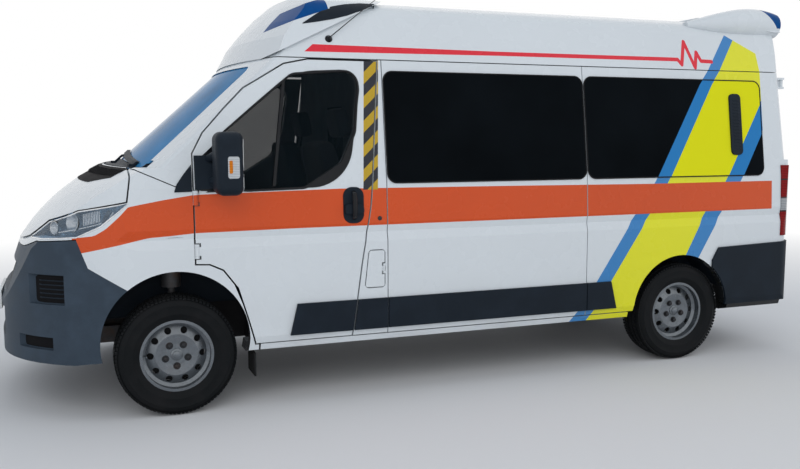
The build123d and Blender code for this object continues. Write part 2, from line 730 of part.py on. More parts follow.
# Front doors
door_shell = common(left_shell, grown_prism(door_points, 0, 600, 1200), cut=[side_section(WALL)])
window = from_axle(DOOR_WINDOW)
window_hole = grown_prism(window, 0, 600, 1200, corner=DOOR_WINDOW_CORNER)
step_points = [(x + DOOR_STEP, z) for x, z in from_axle(DOOR_REAR_EDGE)]
step_points += [(-BIG, SIDE_LOW_Z), (-BIG, DOOR_TOP_Z)]
door_step = common(skin_in, grown_prism(step_points, 0, 600, 1200))
notches = []
lug_room = BARREL_HALF + LUG_HEIGHT + SWING_CLEAR
for z in DOOR_HINGE_HEIGHTS:
    for low, high in ((-lug_room, -BARREL_HALF), (BARREL_HALF, lug_room)):
        notches.append(
            block((DOOR_HINGE_X - 22, DOOR_FRONT_X + 20), (DOOR_HINGE_Y - 33, BIG), (z + low, z + high))
        )
door_left = common(door_shell, cut=[window_hole, door_step, front_arch, *notches])
door_left = joined(door_left, *[barrel(DOOR_HINGE_X, DOOR_HINGE_Y, z) for z in DOOR_HINGE_HEIGHTS])
door_left = common(door_left, cut=[bore(DOOR_HINGE_X, DOOR_HINGE_Y, z) for z in DOOR_HINGE_HEIGHTS])
write("door_left", door_left)
write("door_right", right_hand(door_left))
door_glass = common(glass_layer, grown_prism(window, -SEAT_GAP, 600, 1200, corner=DOOR_WINDOW_CORNER))
write("door_glass_left", door_glass)
write("door_glass_right", right_hand(door_glass))

door_foot = (
    (DOOR_HINGE_X, DOOR_FRONT_X + DOOR_GAP - SEAT_GAP),
    (DOOR_HINGE_Y - BARREL_RADIUS, DOOR_HINGE_Y + 2),
)
door_hinges = [pin_and_lugs(DOOR_HINGE_X, DOOR_HINGE_Y, z, door_foot) for z in DOOR_HINGE_HEIGHTS]

# Rear doors
REAR_PANE = ((110, 1310), (770, 1310), (752, 1960), (110, 1960))
rear_shell = common(left_shell, rear_door_prism(0))
rear_pane_prism = front_prism(REAR_PANE, -BIG, 0)
REAR_PANE_LAP = 40.0
rear_hole_points = [
    (REAR_PANE[0][0] + REAR_PANE_LAP, REAR_PANE[0][1] + REAR_PANE_LAP),
    (REAR_PANE[1][0] - REAR_PANE_LAP, REAR_PANE[1][1] + REAR_PANE_LAP),
    (REAR_PANE[2][0] - REAR_PANE_LAP, REAR_PANE[2][1] - REAR_PANE_LAP),
    (REAR_PANE[3][0] + REAR_PANE_LAP, REAR_PANE[3][1] - REAR_PANE_LAP),
]
rear_step = common(skin_in, block((-BIG, 0), (0, DOOR_GAP / 2 + DOOR_STEP), (0, BIG)))
rear_door = common(rear_shell, cut=[front_prism(rear_hole_points, -BIG, 0), rear_step])
rear_arms = []
for z in REAR_HINGE_HEIGHTS:
    arm = block(
        (REAR_HINGE_X - 8, rear_line(z) + 8),
        (REAR_HINGE_Y - REAR_ARM, REAR_HINGE_Y),
        (z - BARREL_HALF, z + BARREL_HALF),
    )
    arm = common(arm, cut=[block((rear_line(z) - SWING_CLEAR, 0), (REAR_DOOR_HALF, BIG), (0, BIG))])
    rear_arms += [arm, barrel(REAR_HINGE_X, REAR_HINGE_Y, z)]
rear_door = joined(rear_door, *rear_arms)
rear_door = common(rear_door, cut=[bore(REAR_HINGE_X, REAR_HINGE_Y, z) for z in REAR_HINGE_HEIGHTS])
write("rear_door_left", rear_door)
write("rear_door_right", right_hand(rear_door))
rear_pane_glass = common(pane_layer, rear_pane_prism)
write("rear_glass_left", rear_pane_glass)
write("rear_glass_right", right_hand(rear_pane_glass))
rear_foot_y = (REAR_HINGE_Y, REAR_HINGE_Y + REAR_ARM)
for z in REAR_HINGE_HEIGHTS:
    rear_foot_x = (REAR_HINGE_X - 8, rear_line(z) + 40)
    hinge = pin_and_lugs(REAR_HINGE_X, REAR_HINGE_Y, z, (rear_foot_x, rear_foot_y))
    door_hinges.append(common(hinge, cut=[on_skin]))

# Bonnet with its two hinge arms
BONNET_PIN_RADIUS = 5.0
BONNET_BARREL_RADIUS = 10.0
hinge_low_y = BONNET_HINGE_Y - BONNET_HINGE_WIDTH / 2
hinge_high_y = BONNET_HINGE_Y + BONNET_HINGE_WIDTH / 2
arm_points = [
    (BONNET_HINGE_X - 5, BONNET_HINGE_Z - 8),
    (BONNET_HINGE_X + 95, BONNET_HINGE_Z - 62),
    (BONNET_HINGE_X + 95, BONNET_HINGE_Z - 38),
    (BONNET_HINGE_X + 5, BONNET_HINGE_Z + 6),
]
bonnet_arm = joined(
    common(grown_prism(arm_points, 0, hinge_low_y, hinge_high_y), outer),
    cross_cylinder(BONNET_HINGE_X, BONNET_HINGE_Z, BONNET_BARREL_RADIUS, hinge_low_y, hinge_high_y),
)
bonnet_bore = cross_cylinder(
    BONNET_HINGE_X,
    BONNET_HINGE_Z,
    BONNET_PIN_RADIUS + PIN_CLEAR,
    hinge_low_y,
    hinge_high_y,
)
bonnet = joined(bonnet_skin, both_sides(bonnet_arm))
bonnet = common(bonnet, cut=[both_sides(bonnet_bore)])
write("bonnet", bonnet)
BONNET_LUG = 10.0
lug_parts = [
    cross_cylinder(
        BONNET_HINGE_X,
        BONNET_HINGE_Z,
        BONNET_PIN_RADIUS,
        hinge_low_y - END_CLEAR - BONNET_LUG,
        hinge_high_y + END_CLEAR + BONNET_LUG,
    )
]
for low in (hinge_low_y - END_CLEAR - BONNET_LUG, hinge_high_y + END_CLEAR):
    lug_parts.append(
        cross_cylinder(BONNET_HINGE_X, BONNET_HINGE_Z, BONNET_BARREL_RADIUS, low, low + BONNET_LUG)
    )
    lug_parts.append(
        block(
            (FIREWALL_X + FIREWALL_THICK + SEAT_GAP, BONNET_HINGE_X + BONNET_BARREL_RADIUS),
            (low, low + BONNET_LUG),
            (FIREWALL_TOP_Z - 45, BONNET_HINGE_Z),
        )
    )
bridge = block(
    (FIREWALL_X + FIREWALL_THICK + SEAT_GAP, FIREWALL_X + FIREWALL_THICK + 8),
    (hinge_low_y - END_CLEAR - BONNET_LUG, hinge_high_y + END_CLEAR + BONNET_LUG),
    (FIREWALL_TOP_Z - 45, FIREWALL_TOP_Z),
)
door_hinges.append(joined(*lug_parts, bridge))

# Fuel flap
FLAP_HINGE_X = FRONT_AXLE_X + FLAP_OUTLINE[0][0] + 4.0
FLAP_HINGE_Y = HALF_WIDTH + 1.0
FLAP_HINGE_Z = 780.0
FLAP_PIN_RADIUS = 2.5
FLAP_BARREL_RADIUS = 6.0
FLAP_BARREL_HALF = 15.0
flap_plate = common(
    outer,
    grown_prism(from_axle(FLAP_OUTLINE), 0, 900, 1200, corner=14),
    cut=[body_volume(FLAP_SKIN)],
)
flap_low = FLAP_HINGE_Z - FLAP_BARREL_HALF
flap_high = FLAP_HINGE_Z + FLAP_BARREL_HALF
flap_point = (FLAP_HINGE_X, FLAP_HINGE_Y)
flap_barrel = round_bar((*flap_point, flap_low), (*flap_point, flap_high), FLAP_BARREL_RADIUS)
flap_bore = round_bar((*flap_point, flap_low), (*flap_point, flap_high), FLAP_PIN_RADIUS + PIN_CLEAR)
flap_notch = block(
    (FLAP_HINGE_X - 20, FLAP_HINGE_X + 12),
    (HALF_WIDTH - 2 * FLAP_SKIN, BIG),
    (flap_low - END_CLEAR - LUG_HEIGHT - SWING_CLEAR, flap_high + END_CLEAR + LUG_HEIGHT + SWING_CLEAR),
)
flap_tab = block(
    (FLAP_HINGE_X, FLAP_HINGE_X + 16),
    (HALF_WIDTH - FLAP_SKIN, HALF_WIDTH - 1),
    (flap_low, flap_high),
)
flap = joined(common(flap_plate, cut=[flap_notch]), flap_tab, flap_barrel)
flap = common(flap, cut=[flap_bore])
write("fuel_flap", flap)
flap_reach = END_CLEAR + LUG_HEIGHT
flap_pin_ends = ((*flap_point, flap_low - flap_reach), (*flap_point, flap_high + flap_reach))
flap_lugs = [round_bar(*flap_pin_ends, FLAP_PIN_RADIUS)]
for low in (flap_low - flap_reach, flap_high + END_CLEAR):
    flap_lugs.append(round_bar((*flap_point, low), (*flap_point, low + LUG_HEIGHT), FLAP_BARREL_RADIUS))
    flap_lugs.append(
        block(
            (FLAP_HINGE_X - 4 - PANEL_GAP + SEAT_GAP, FLAP_HINGE_X),
            (HALF_WIDTH - 14, HALF_WIDTH + 3),
            (low, low + LUG_HEIGHT),
        )
    )
flap_hinge = joined(*flap_lugs)
write("hinges", joined(both_sides(joined(*door_hinges)), flap_hinge))

# Roof fairings with the corner beacons
FAIRING_OUT = 25.0
FAIRING_AXIS_X = FRONT_AXLE_X - 3150.0
FAIRING_PROFILE = (
    (-448, 2030),
    (-516, 2159),
    (-598, 2260),
    (-698, 2365),
    (-788, 2440),
    (-948, 2478),
    (-1358, 2490),
)
FAIRING_FOOT = ((-1358, 2420), (-558, 2030))
BEACON_FRONT = ((-560, 2185), (-560, 2262), (-955, 2410), (-955, 2330))
BEACON_HALF = 560.0
REAR_FAIRING = ((440, 2380), (440, 2462), (130, 2486), (40, 2500), (-20, 2440), (-8, 2330), (60, 2330))
REAR_BEACON = ((175, 2520), (-80, 2520), (-80, 2360), (20, 2360))
REAR_BEACON_HALF = 590.0
# Rear beacon pods, columns: x from the body's rear, y, z, width, height
POD_SECTIONS = (
    (785.0, 745.0, 2360.0, 60.0, 40.0),
    (545.0, 735.0, 2375.0, 190.0, 140.0),
    (225.0, 715.0, 2395.0, 260.0, 210.0),
    (-15.0, 700.0, 2385.0, 250.0, 180.0),
)


def turned_prism(points, axis_x):
    """Profile of (x, z) points turned about an upright axis far behind it."""
    with BuildPart() as turned:
        with BuildSketch(Plane.XZ):
            with BuildLine():
                Polyline(*[(2 * axis_x - x, z) for x, z in points], close=True)
            make_face()
        revolve(axis=Axis((axis_x, 0, 0), (0, 0, 1)))
    return turned.part


fairing_wrap = side_section(-FAIRING_OUT)
fairing_points = from_axle(FAIRING_PROFILE + FAIRING_FOOT)
fairing_axis_points = from_axle(FAIRING_PROFILE) + [
    (FAIRING_AXIS_X + 200, FAIRING_PROFILE[-1][1]),
    (FAIRING_AXIS_X + 200, FAIRING_PROFILE[0][1]),
]
fairing_body = common(
    turned_prism(fairing_axis_points, FAIRING_AXIS_X),
    fairing_wrap,
    grown_prism(fairing_points, 0, -1200, 1200),
    cut=[on_skin],
)
beacon_sides = joined(
    block((-BIG, BIG), (BEACON_HALF, BIG), (0, BIG)), block((-BIG, BIG), (-BIG, -BEACON_HALF), (0, BIG))
)
beacon_front_zone = common(grown_prism(from_axle(BEACON_FRONT), 0, -1200, 1200), beacon_sides)
beacon_front_room = common(
    grown_prism(from_axle(BEACON_FRONT), SEAT_GAP, -1200, 1200),
    joined(
        block((-BIG, BIG), (BEACON_HALF - SEAT_GAP, BIG), (0, BIG)),
        block((-BIG, BIG), (-BIG, -BEACON_HALF + SEAT_GAP), (0, BIG)),
    ),
)
beacon_front = common(fairing_body, beacon_front_zone)
write("fairing_front", common(fairing_body, cut=[beacon_front_room]))
rear_fairing_points = [(BODY_REAR_X + x, z) for x, z in REAR_FAIRING]
rear_beacon_points = [(BODY_REAR_X + x, z) for x, z in REAR_BEACON]
with BuildPart() as pod_left:
    for x, y, z, width, height in POD_SECTIONS:
        with BuildSketch(Plane.YZ.offset(BODY_REAR_X + x)):
            with Locations((y, z)):
                SlotOverall(width, height)
    loft()
pods = common(both_sides(pod_left.part), cut=[on_skin])
spoiler = common(grown_prism(rear_fairing_points, 0, -1200, 1200), side_section(-35.0), cut=[on_skin])
spoiler = joined(spoiler, pods)
rear_beacon_zone = common(
    grown_prism(rear_beacon_points, 0, -1200, 1200),
    joined(
        block((-BIG, BIG), (REAR_BEACON_HALF, BIG), (0, BIG)),
        block((-BIG, BIG), (-BIG, -REAR_BEACON_HALF), (0, BIG)),
    ),
)
rear_beacon_room = common(
    grown_prism(rear_beacon_points, SEAT_GAP, -1200, 1200),
    joined(
        block((-BIG, BIG), (REAR_BEACON_HALF - SEAT_GAP, BIG), (0, BIG)),
        block((-BIG, BIG), (-BIG, -REAR_BEACON_HALF + SEAT_GAP), (0, BIG)),
    ),
)
beacon_rear = common(spoiler, rear_beacon_zone)
write("fairing_rear", common(spoiler, cut=[rear_beacon_room]))
write("beacons", joined(beacon_front, beacon_rear))

# Cladding along the sides, split at the panel seams
CLAD_LOW_Z = 415.0
CLAD_HIGH_Z = 600.0
CLAD_FRONT_X = FRONT_AXLE_X - 645.0
CLAD_REAR_X = REAR_AXLE_X + 550.0
CLAD_SLANT = 45.0
door_rear = from_axle(DOOR_REAR_EDGE)


def edge_x(z):
    """X of the door's slanting rear edge at height z below the handle."""
    (x_a, z_a), (x_b, z_b) = door_rear[2], door_rear[3]
    return x_a + (x_b - x_a) * (z - z_a) / (z_b - z_a)


def clad_strip(low_x, high_x, low_top, high_top):
    """Cladding strip from its bottom and top x limits."""
    points = [(low_x, CLAD_LOW_Z), (high_x, CLAD_LOW_Z), (high_top, CLAD_HIGH_Z), (low_top, CLAD_HIGH_Z)]
    return common(trim_layer, grown_prism(points, 0, 700, 1200))


half_gap = PANEL_GAP / 2
clad_rear = clad_strip(CLAD_REAR_X, C_SEAM_X - half_gap, CLAD_REAR_X + CLAD_SLANT, C_SEAM_X - half_gap)
clad_middle = clad_strip(C_SEAM_X + half_gap, B_SEAM_X - half_gap, C_SEAM_X + half_gap, B_SEAM_X - half_gap)
clad_pillar = clad_strip(
    B_SEAM_X + half_gap,
    edge_x(CLAD_LOW_Z) - DOOR_GAP,
    B_SEAM_X + half_gap,
    edge_x(CLAD_HIGH_Z) - DOOR_GAP,
)
clad_door = clad_strip(
    edge_x(CLAD_LOW_Z) + 2,
    CLAD_FRONT_X,
    edge_x(CLAD_HIGH_Z) + 2,
    CLAD_FRONT_X - CLAD_SLANT,
)
write("side_cladding", both_sides(joined(clad_rear, clad_middle, clad_pillar)))

# Door trim: mirror on its base plate, handle, cladding
MIRROR_CENTRE = (FRONT_AXLE_X - 280.0, 1160.0, 1428.0)
MIRROR_SIZE = (150.0, 190.0, 345.0)
MIRROR_FILLET = 45.0
MIRROR_BASE = ((-120, 1280), (-120, 1470), (-190, 1470), (-300, 1290))
HANDLE = ((-1104, 1120), (-1098, 1175), (-985, 1175), (-985, 1120))
with BuildPart() as mirror_head:
    with Locations(MIRROR_CENTRE):
        Box(*MIRROR_SIZE)
    fillet(mirror_head.edges(), MIRROR_FILLET)
mirror_base = common(body_volume(-20.0), grown_prism(from_axle(MIRROR_BASE), 0, 700, 1200), cut=[on_skin])
arm_y = WAIST_HALF_WIDTH - 10.0
MIRROR_ARM_RADIUS = 24.0
mirror_root = (MIRROR_CENTRE[0] + 20, MIRROR_CENTRE[1])
arm_high = common(
    round_bar((FRONT_AXLE_X - 190, arm_y - 40, 1440), (*mirror_root, 1500), MIRROR_ARM_RADIUS),
    cut=[on_skin],
)
arm_low = common(
    round_bar((FRONT_AXLE_X - 200, arm_y - 40, 1325), (*mirror_root, 1330), MIRROR_ARM_RADIUS),
    cut=[on_skin],
)
mirror_arm = joined(mirror_head.part, mirror_base, arm_high, arm_low)
handle = common(body_volume(-24.0), grown_prism(from_axle(HANDLE), 0, 700, 1200, corner=16), cut=[on_skin])
door_trim = joined(mirror_arm, handle, clad_door)
write("door_trim_left", door_trim)
write("door_trim_right", right_hand(door_trim))

# Rear bumper: corner shells joined by a step under the doors
REAR_BUMPER_OUT = 16.0
REAR_BUMPER_TOP_Z = 828.0
REAR_STEP_LOW_Z = 395.0
REAR_STEP_HIGH_Z = 530.0
bumper_side_points = [
    (REAR_AXLE_X - 247, SIDE_LOW_Z - 6),
    (REAR_AXLE_X - 247, 700),
    (REAR_AXLE_X - 300, 790),
    (-BIG, REAR_BUMPER_TOP_Z),
    (-BIG, SIDE_LOW_Z - 6),
]
bumper_corner = common(
    body_volume(-REAR_BUMPER_OUT),
    grown_prism(bumper_side_points, 0, REAR_DOOR_HALF + DOOR_GAP, 1200),
    cut=[on_skin, cross_cylinder(rear_arch_x, REAR_ARCH_Z, REAR_ARCH_RADIUS, 700, 1200)],
)
rear_step_block = block(
    (REAR_X, BODY_REAR_X - SEAT_GAP),
    (-REAR_DOOR_HALF - 40, REAR_DOOR_HALF + 40),
    (REAR_STEP_LOW_Z, REAR_STEP_HIGH_Z),
)
with BuildPart() as rear_step_part:
    add(rear_step_block)
    fillet(rear_step_part.edges().filter_by(Axis.Y).group_by(Axis.X)[0], 18)
write("bumper_rear", joined(both_sides(bumper_corner), rear_step_part.part))

# Grille and intake bars set back in the bumper
GRILLE_BARS = 5
GRILLE_BAR = 14.0
grille_layer = common(body_volume(20.0), cut=[inner])
bars = []
# Openings with bars, columns: low z, high z, half width
BARRED_OPENINGS = (
    (INTAKE_LOW_Z, INTAKE_HIGH_Z, INTAKE_HALF),
    (GRILLE_LOW_Z, GRILLE_HIGH_Z, GRILLE_HALF),
)
for low_z, high_z, half in BARRED_OPENINGS:
    pitch = (high_z - low_z) / GRILLE_BARS
    for row in range(GRILLE_BARS):
        z = low_z + pitch * (row + 0.5)
        bars.append(block((0, BIG), (-half, half), (z - GRILLE_BAR / 2, z + GRILLE_BAR / 2)))
    for y in (-half + 10, 0, half - 10):
        bar_z = (low_z + SEAT_GAP, high_z - SEAT_GAP)
        bars.append(block((0, BIG), (y - 10 + SEAT_GAP, y + 10 - SEAT_GAP), bar_z))
front_only = block((FRONT_X - 250, BIG), (-BIG, BIG), (0, BIG))
grille = common(grille_layer, front_only, joined(*bars), joined(
    *(
        block((0, BIG), (-half + SEAT_GAP, half - SEAT_GAP), (low_z + SEAT_GAP, high_z - SEAT_GAP))
        for low_z, high_z, half in BARRED_OPENINGS
    ),
))
write("grille", grille)

# Wheels: tyre and pressed-steel rim, profiles in columns: radius, offset towards the outside
TYRE_RADIUS = 341.0
FRONT_TRACK = 1810.0
REAR_TRACK = 1790.0
AXLE_RADIUS = 30.0
AXLE_CLEAR = 0.3
HUB_BACK = -14.0
HUB_FACE = 46.0
RIM_SEAT = 198.0
RIM_FLANGE = 207.0
RIM_HALF = 82.0
FLANGE = 7.0
VENT_HOLES = 10
VENT_RADIUS = 19.0
VENT_CIRCLE = 145.0
RIM_PROFILE = (
    (RIM_FLANGE, RIM_HALF),
    (RIM_FLANGE, RIM_HALF - FLANGE),
    (RIM_SEAT, RIM_HALF - FLANGE),
    (RIM_SEAT, 44),
    (180, 32),
    (180, -32),
    (RIM_SEAT, -46),
    (RIM_SEAT, FLANGE - RIM_HALF),
    (RIM_FLANGE, FLANGE - RIM_HALF),
    (RIM_FLANGE, -RIM_HALF),
    (190, -RIM_HALF),
    (190, -48),
    (171, -34),
    (171, 14),
    (118, 40),
    (62, 34),
    (62, HUB_BACK),
    (AXLE_RADIUS + AXLE_CLEAR, HUB_BACK),
    (AXLE_RADIUS + AXLE_CLEAR, HUB_FACE),
    (62, HUB_FACE),
    (118, 52),
    (171, 28),
    (190, 40),
    (190, RIM_HALF),
)
bead = RIM_HALF - FLANGE - SEAT_GAP
TYRE_HALF_PROFILE = (
    (RIM_SEAT + SEAT_GAP, bead),
    (RIM_FLANGE + SEAT_GAP, bead),
    (262, 107.5),
    (305, 104),
    (330, 88),
    (TYRE_RADIUS, 66),
)


def turned_about_y(profile):
    """Profile of (radius, offset) points turned about the wheel's own axis."""
    with BuildPart() as turned:
        with BuildSketch(Plane.XY):
            with BuildLine():
                Polyline(*[(-r, t) for r, t in profile], close=True)
            make_face()
        revolve(axis=Axis.Y)
    return turned.part


with BuildPart() as rim:
    add(turned_about_y(RIM_PROFILE))
    with BuildSketch(Plane.XZ):
        with PolarLocations(VENT_CIRCLE, VENT_HOLES):
            Circle(VENT_RADIUS)
    extrude(amount=RIM_HALF, both=True, mode=Mode.SUBTRACT)
tyre_profile = TYRE_HALF_PROFILE + tuple((r, -t) for r, t in reversed(TYRE_HALF_PROFILE))
tyre = turned_about_y(tyre_profile)

for corner, x, track in (("front", FRONT_AXLE_X, FRONT_TRACK), ("rear", REAR_AXLE_X, REAR_TRACK)):
    place = Location((x, track / 2, TYRE_RADIUS))
    for kind, solid in (("rim", rim.part), ("tyre", tyre)):
        left = solid.moved(place)
        write(f"{kind}_{corner}_left", left)
        write(f"{kind}_{corner}_right", right_hand(left))

# Front knuckles: a sleeve on the kingpin with the stub axle
KINGPIN_Y = 770.0
KINGPIN_RADIUS = 16.0
SLEEVE_RADIUS = 34.0
SLEEVE_LOW_Z = 240.0
SLEEVE_HIGH_Z = 440.0
STUB_RADIUS = 45.0
hub_y = FRONT_TRACK / 2 + HUB_BACK
sleeve_ends = ((FRONT_AXLE_X, KINGPIN_Y, SLEEVE_LOW_Z), (FRONT_AXLE_X, KINGPIN_Y, SLEEVE_HIGH_Z))
with BuildPart() as knuckle:
    add(round_bar(*sleeve_ends, SLEEVE_RADIUS))
    add(cross_cylinder(FRONT_AXLE_X, TYRE_RADIUS, STUB_RADIUS, KINGPIN_Y, hub_y - END_CLEAR))
    add(cross_cylinder(FRONT_AXLE_X, TYRE_RADIUS, AXLE_RADIUS, KINGPIN_Y, FRONT_TRACK / 2 + HUB_FACE))
    add(
        round_bar(*sleeve_ends, KINGPIN_RADIUS + PIN_CLEAR),
        mode=Mode.SUBTRACT,
    )
write("knuckle_left", knuckle.part)
write("knuckle_right", right_hand(knuckle.part))

# Front subframe with rails, wishbones and struts
RAIL_INNER_Y = 380.0
RAIL_OUTER_Y = 450.0
RAIL_LOW_Z = 330.0
RAIL_HIGH_Z = 430.0
COLLAR_RADIUS = 30.0
STRUT_RADIUS = 20.0
SPRING_RADIUS = 55.0
WISHBONE_Z = 185.0
WISHBONE_SPREAD = 190.0
strut_top_z = FRONT_ARCH_Z + (FRONT_HOUSING_RADIUS**2 - SPRING_RADIUS**2) ** 0.5 - SEAT_GAP
rail_front_x = FRONT_X - 215.0
under_floor_z = FLOOR_Z - FLOOR_THICK - SEAT_GAP
with BuildPart() as front_left:
    add(block((FRONT_AXLE_X - 420, rail_front_x), (RAIL_INNER_Y, RAIL_OUTER_Y), (RAIL_LOW_Z, RAIL_HIGH_Z)))
    rail_x = (FRONT_AXLE_X - 420, FIREWALL_X + 30)
    add(block(rail_x, (RAIL_INNER_Y, RAIL_OUTER_Y), (RAIL_LOW_Z, under_floor_z)))
    beam_x = (FRONT_AXLE_X - 40, FRONT_AXLE_X + 40)
    add(block(beam_x, (0, RAIL_OUTER_Y), (RAIL_LOW_Z - 60, RAIL_LOW_Z + 40)))
    add(block((rail_front_x - 70, rail_front_x), (0, RAIL_OUTER_Y), (RAIL_LOW_Z + 20, RAIL_HIGH_Z)))
    for shift in (-WISHBONE_SPREAD, WISHBONE_SPREAD):
        add(
            round_bar(
                (FRONT_AXLE_X + shift, RAIL_OUTER_Y - 20, RAIL_LOW_Z + 30),
                (FRONT_AXLE_X, KINGPIN_Y, WISHBONE_Z),
                20,
            )
        )
    pivot = (FRONT_AXLE_X, KINGPIN_Y)
    add(round_bar((*pivot, WISHBONE_Z - 18), (*pivot, SLEEVE_LOW_Z - END_CLEAR), COLLAR_RADIUS))
    add(round_bar((*pivot, WISHBONE_Z), (*pivot, strut_top_z), KINGPIN_RADIUS))
    add(round_bar((*pivot, SLEEVE_HIGH_Z + END_CLEAR), (*pivot, SLEEVE_HIGH_Z + 15), COLLAR_RADIUS))
    add(round_bar((*pivot, SLEEVE_HIGH_Z + 15), (*pivot, strut_top_z), STRUT_RADIUS))
    add(round_bar((*pivot, 2 * TYRE_RADIUS + 25), (*pivot, strut_top_z), SPRING_RADIUS))
write("front_suspension", both_sides(front_left.part))

# Rear axle beam on two leaf springs
BEAM_RADIUS = 40.0
SPRING_Y = 560.0
LEAF_WIDTH = 60.0
LEAF_THICK = 28.0
LEAF_HALF_SPAN = 640.0
LEAF_RISE = 45.0
rear_hub_y = REAR_TRACK / 2 + HUB_BACK
with BuildPart() as rear_axle:
    add(cross_cylinder(REAR_AXLE_X, TYRE_RADIUS, BEAM_RADIUS, -HOUSING_INNER_Y - 60, HOUSING_INNER_Y + 60))
    for side in (-1, 1):
        hub = side * (rear_hub_y - END_CLEAR)
        tip = side * (REAR_TRACK / 2 + HUB_FACE)
        add(cross_cylinder(REAR_AXLE_X, TYRE_RADIUS, STUB_RADIUS, *sorted((side * HOUSING_INNER_Y, hub))))
        add(cross_cylinder(REAR_AXLE_X, TYRE_RADIUS, AXLE_RADIUS, *sorted((side * HOUSING_INNER_Y, tip))))
write("rear_axle", rear_axle.part)

leaf_z = TYRE_RADIUS + BEAM_RADIUS + SEAT_GAP
with BuildPart() as leaf:
    with BuildSketch(Plane.XZ.offset(-(SPRING_Y - LEAF_WIDTH / 2))):
        with BuildLine():
            low = ThreePointArc(
                (REAR_AXLE_X - LEAF_HALF_SPAN, leaf_z + LEAF_RISE),
                (REAR_AXLE_X, leaf_z),
                (REAR_AXLE_X + LEAF_HALF_SPAN, leaf_z + LEAF_RISE),
            )
            high = ThreePointArc(
                (REAR_AXLE_X - LEAF_HALF_SPAN, leaf_z + LEAF_RISE + LEAF_THICK),
                (REAR_AXLE_X, leaf_z + LEAF_THICK),
                (REAR_AXLE_X + LEAF_HALF_SPAN, leaf_z + LEAF_RISE + LEAF_THICK),
            )
            Line(low @ 0, high @ 0)
            Line(low @ 1, high @ 1)
        make_face()
    extrude(amount=-LEAF_WIDTH)
    for end in (-LEAF_HALF_SPAN, LEAF_HALF_SPAN):
        x = REAR_AXLE_X + end
        hanger_y = (SPRING_Y - LEAF_WIDTH / 2, SPRING_Y + LEAF_WIDTH / 2)
        add(block((x - 35, x + 35), hanger_y, (leaf_z + LEAF_RISE, under_floor_z)))
write("leaf_springs", both_sides(leaf.part))

# Engine block, fuel tank, exhaust
engine = block(
    (FIREWALL_X + FIREWALL_THICK + 45, FIREWALL_X + FIREWALL_THICK + 470),
    (-RAIL_INNER_Y + SEAT_GAP, RAIL_INNER_Y - SEAT_GAP),
    (400, 1000),
)
write("engine", engine)
with BuildPart() as tank:
    add(block((FRONT_AXLE_X - 1950, FRONT_AXLE_X - 1050), (150, 720), (300, under_floor_z)))
    fillet(tank.edges().group_by(Axis.Z)[0], 40)
write("fuel_tank", tank.part)
PIPE_RADIUS = 28.0
SILENCER_RADIUS = 75.0
exhaust_z = under_floor_z - SILENCER_RADIUS
exhaust_y = -230.0
with BuildPart() as exhaust:
    for end_x, start_x, radius in (
        (FIREWALL_X + FIREWALL_THICK + 30, BODY_REAR_X + 200, PIPE_RADIUS),
        (FRONT_AXLE_X - 1900, FRONT_AXLE_X - 1200, SILENCER_RADIUS),
    ):
        add(round_bar((end_x, exhaust_y, exhaust_z), (start_x, exhaust_y, exhaust_z), radius))
    hanger_x = (BODY_REAR_X + 300, BODY_REAR_X + 340)
    add(block(hanger_x, (exhaust_y - 12, exhaust_y + 12), (exhaust_z, under_floor_z)))
write("exhaust", exhaust.part)

# Cab: bulkhead, dashboard, steering wheel, seats
BULKHEAD_X = B_SEAM_X + 3.0
BULKHEAD_THICK = 40.0
bulkhead = common(
    seat,
    block((BULKHEAD_X, BULKHEAD_X + BULKHEAD_THICK), (-BIG, BIG), (FLOOR_Z + SEAT_GAP, BIG)),
    cut=[block((0, BIG), (-250, 250), (1380, 1780))],
)
write("bulkhead", bulkhead)
dash_points = [
    (FIREWALL_X - SEAT_GAP, 900),
    (FIREWALL_X - SEAT_GAP, 1300),
    (FIREWALL_X - 130, 1330),
    (FIREWALL_X - 330, 1230),
    (FIREWALL_X - 360, 1120),
    (FIREWALL_X - 220, 900),
]
dashboard = common(seat, grown_prism(dash_points, 0, -1000, 1000))
write("dashboard", dashboard)
SEAT_Y = 470.0
SEAT_WIDTH = 520.0
SEAT_FRONT_X = FRONT_AXLE_X - 485.0
with BuildPart() as seat_left:
    with BuildSketch(Plane.XZ.offset(-(SEAT_Y - SEAT_WIDTH / 2))):
        with BuildLine():
            Polyline(
                (SEAT_FRONT_X - 60, FLOOR_Z + SEAT_GAP),
                (SEAT_FRONT_X - 60, 830),
                (SEAT_FRONT_X, 850),
                (SEAT_FRONT_X, 960),
                (SEAT_FRONT_X - 430, 930),
                (SEAT_FRONT_X - 560, 1560),
                (SEAT_FRONT_X - 680, 1560),
                (SEAT_FRONT_X - 560, 830),
                (SEAT_FRONT_X - 480, FLOOR_Z + SEAT_GAP),
                close=True,
            )
        make_face()
    extrude(amount=-SEAT_WIDTH)
    fillet(seat_left.edges().filter_by(Axis.Y).group_by(Axis.Z)[-1], 50)
    add(
        block(
            (SEAT_FRONT_X - 665, SEAT_FRONT_X - 585), (SEAT_Y - 130, SEAT_Y + 130), (1550, 1760)
        )
    )
write("cab_seats", both_sides(seat_left.part))
WHEEL_CENTRE = (FIREWALL_X - 430.0, SEAT_Y, 1170.0)
WHEEL_TILT = 30.0
wheel_plane = Plane(origin=WHEEL_CENTRE, x_dir=(0, 1, 0), z_dir=Vector(1, 0, 0).rotate(Axis.Y, WHEEL_TILT))
with BuildPart() as steering_wheel:
    with BuildSketch(wheel_plane):
        Circle(200)
        Circle(172, mode=Mode.SUBTRACT)
        Rectangle(380, 50)
        Circle(70)
    extrude(amount=14, both=True)
    with BuildSketch(wheel_plane):
        Circle(30)
    extrude(amount=240)
    add(dashboard, mode=Mode.SUBTRACT)
write("steering_wheel", steering_wheel.part)

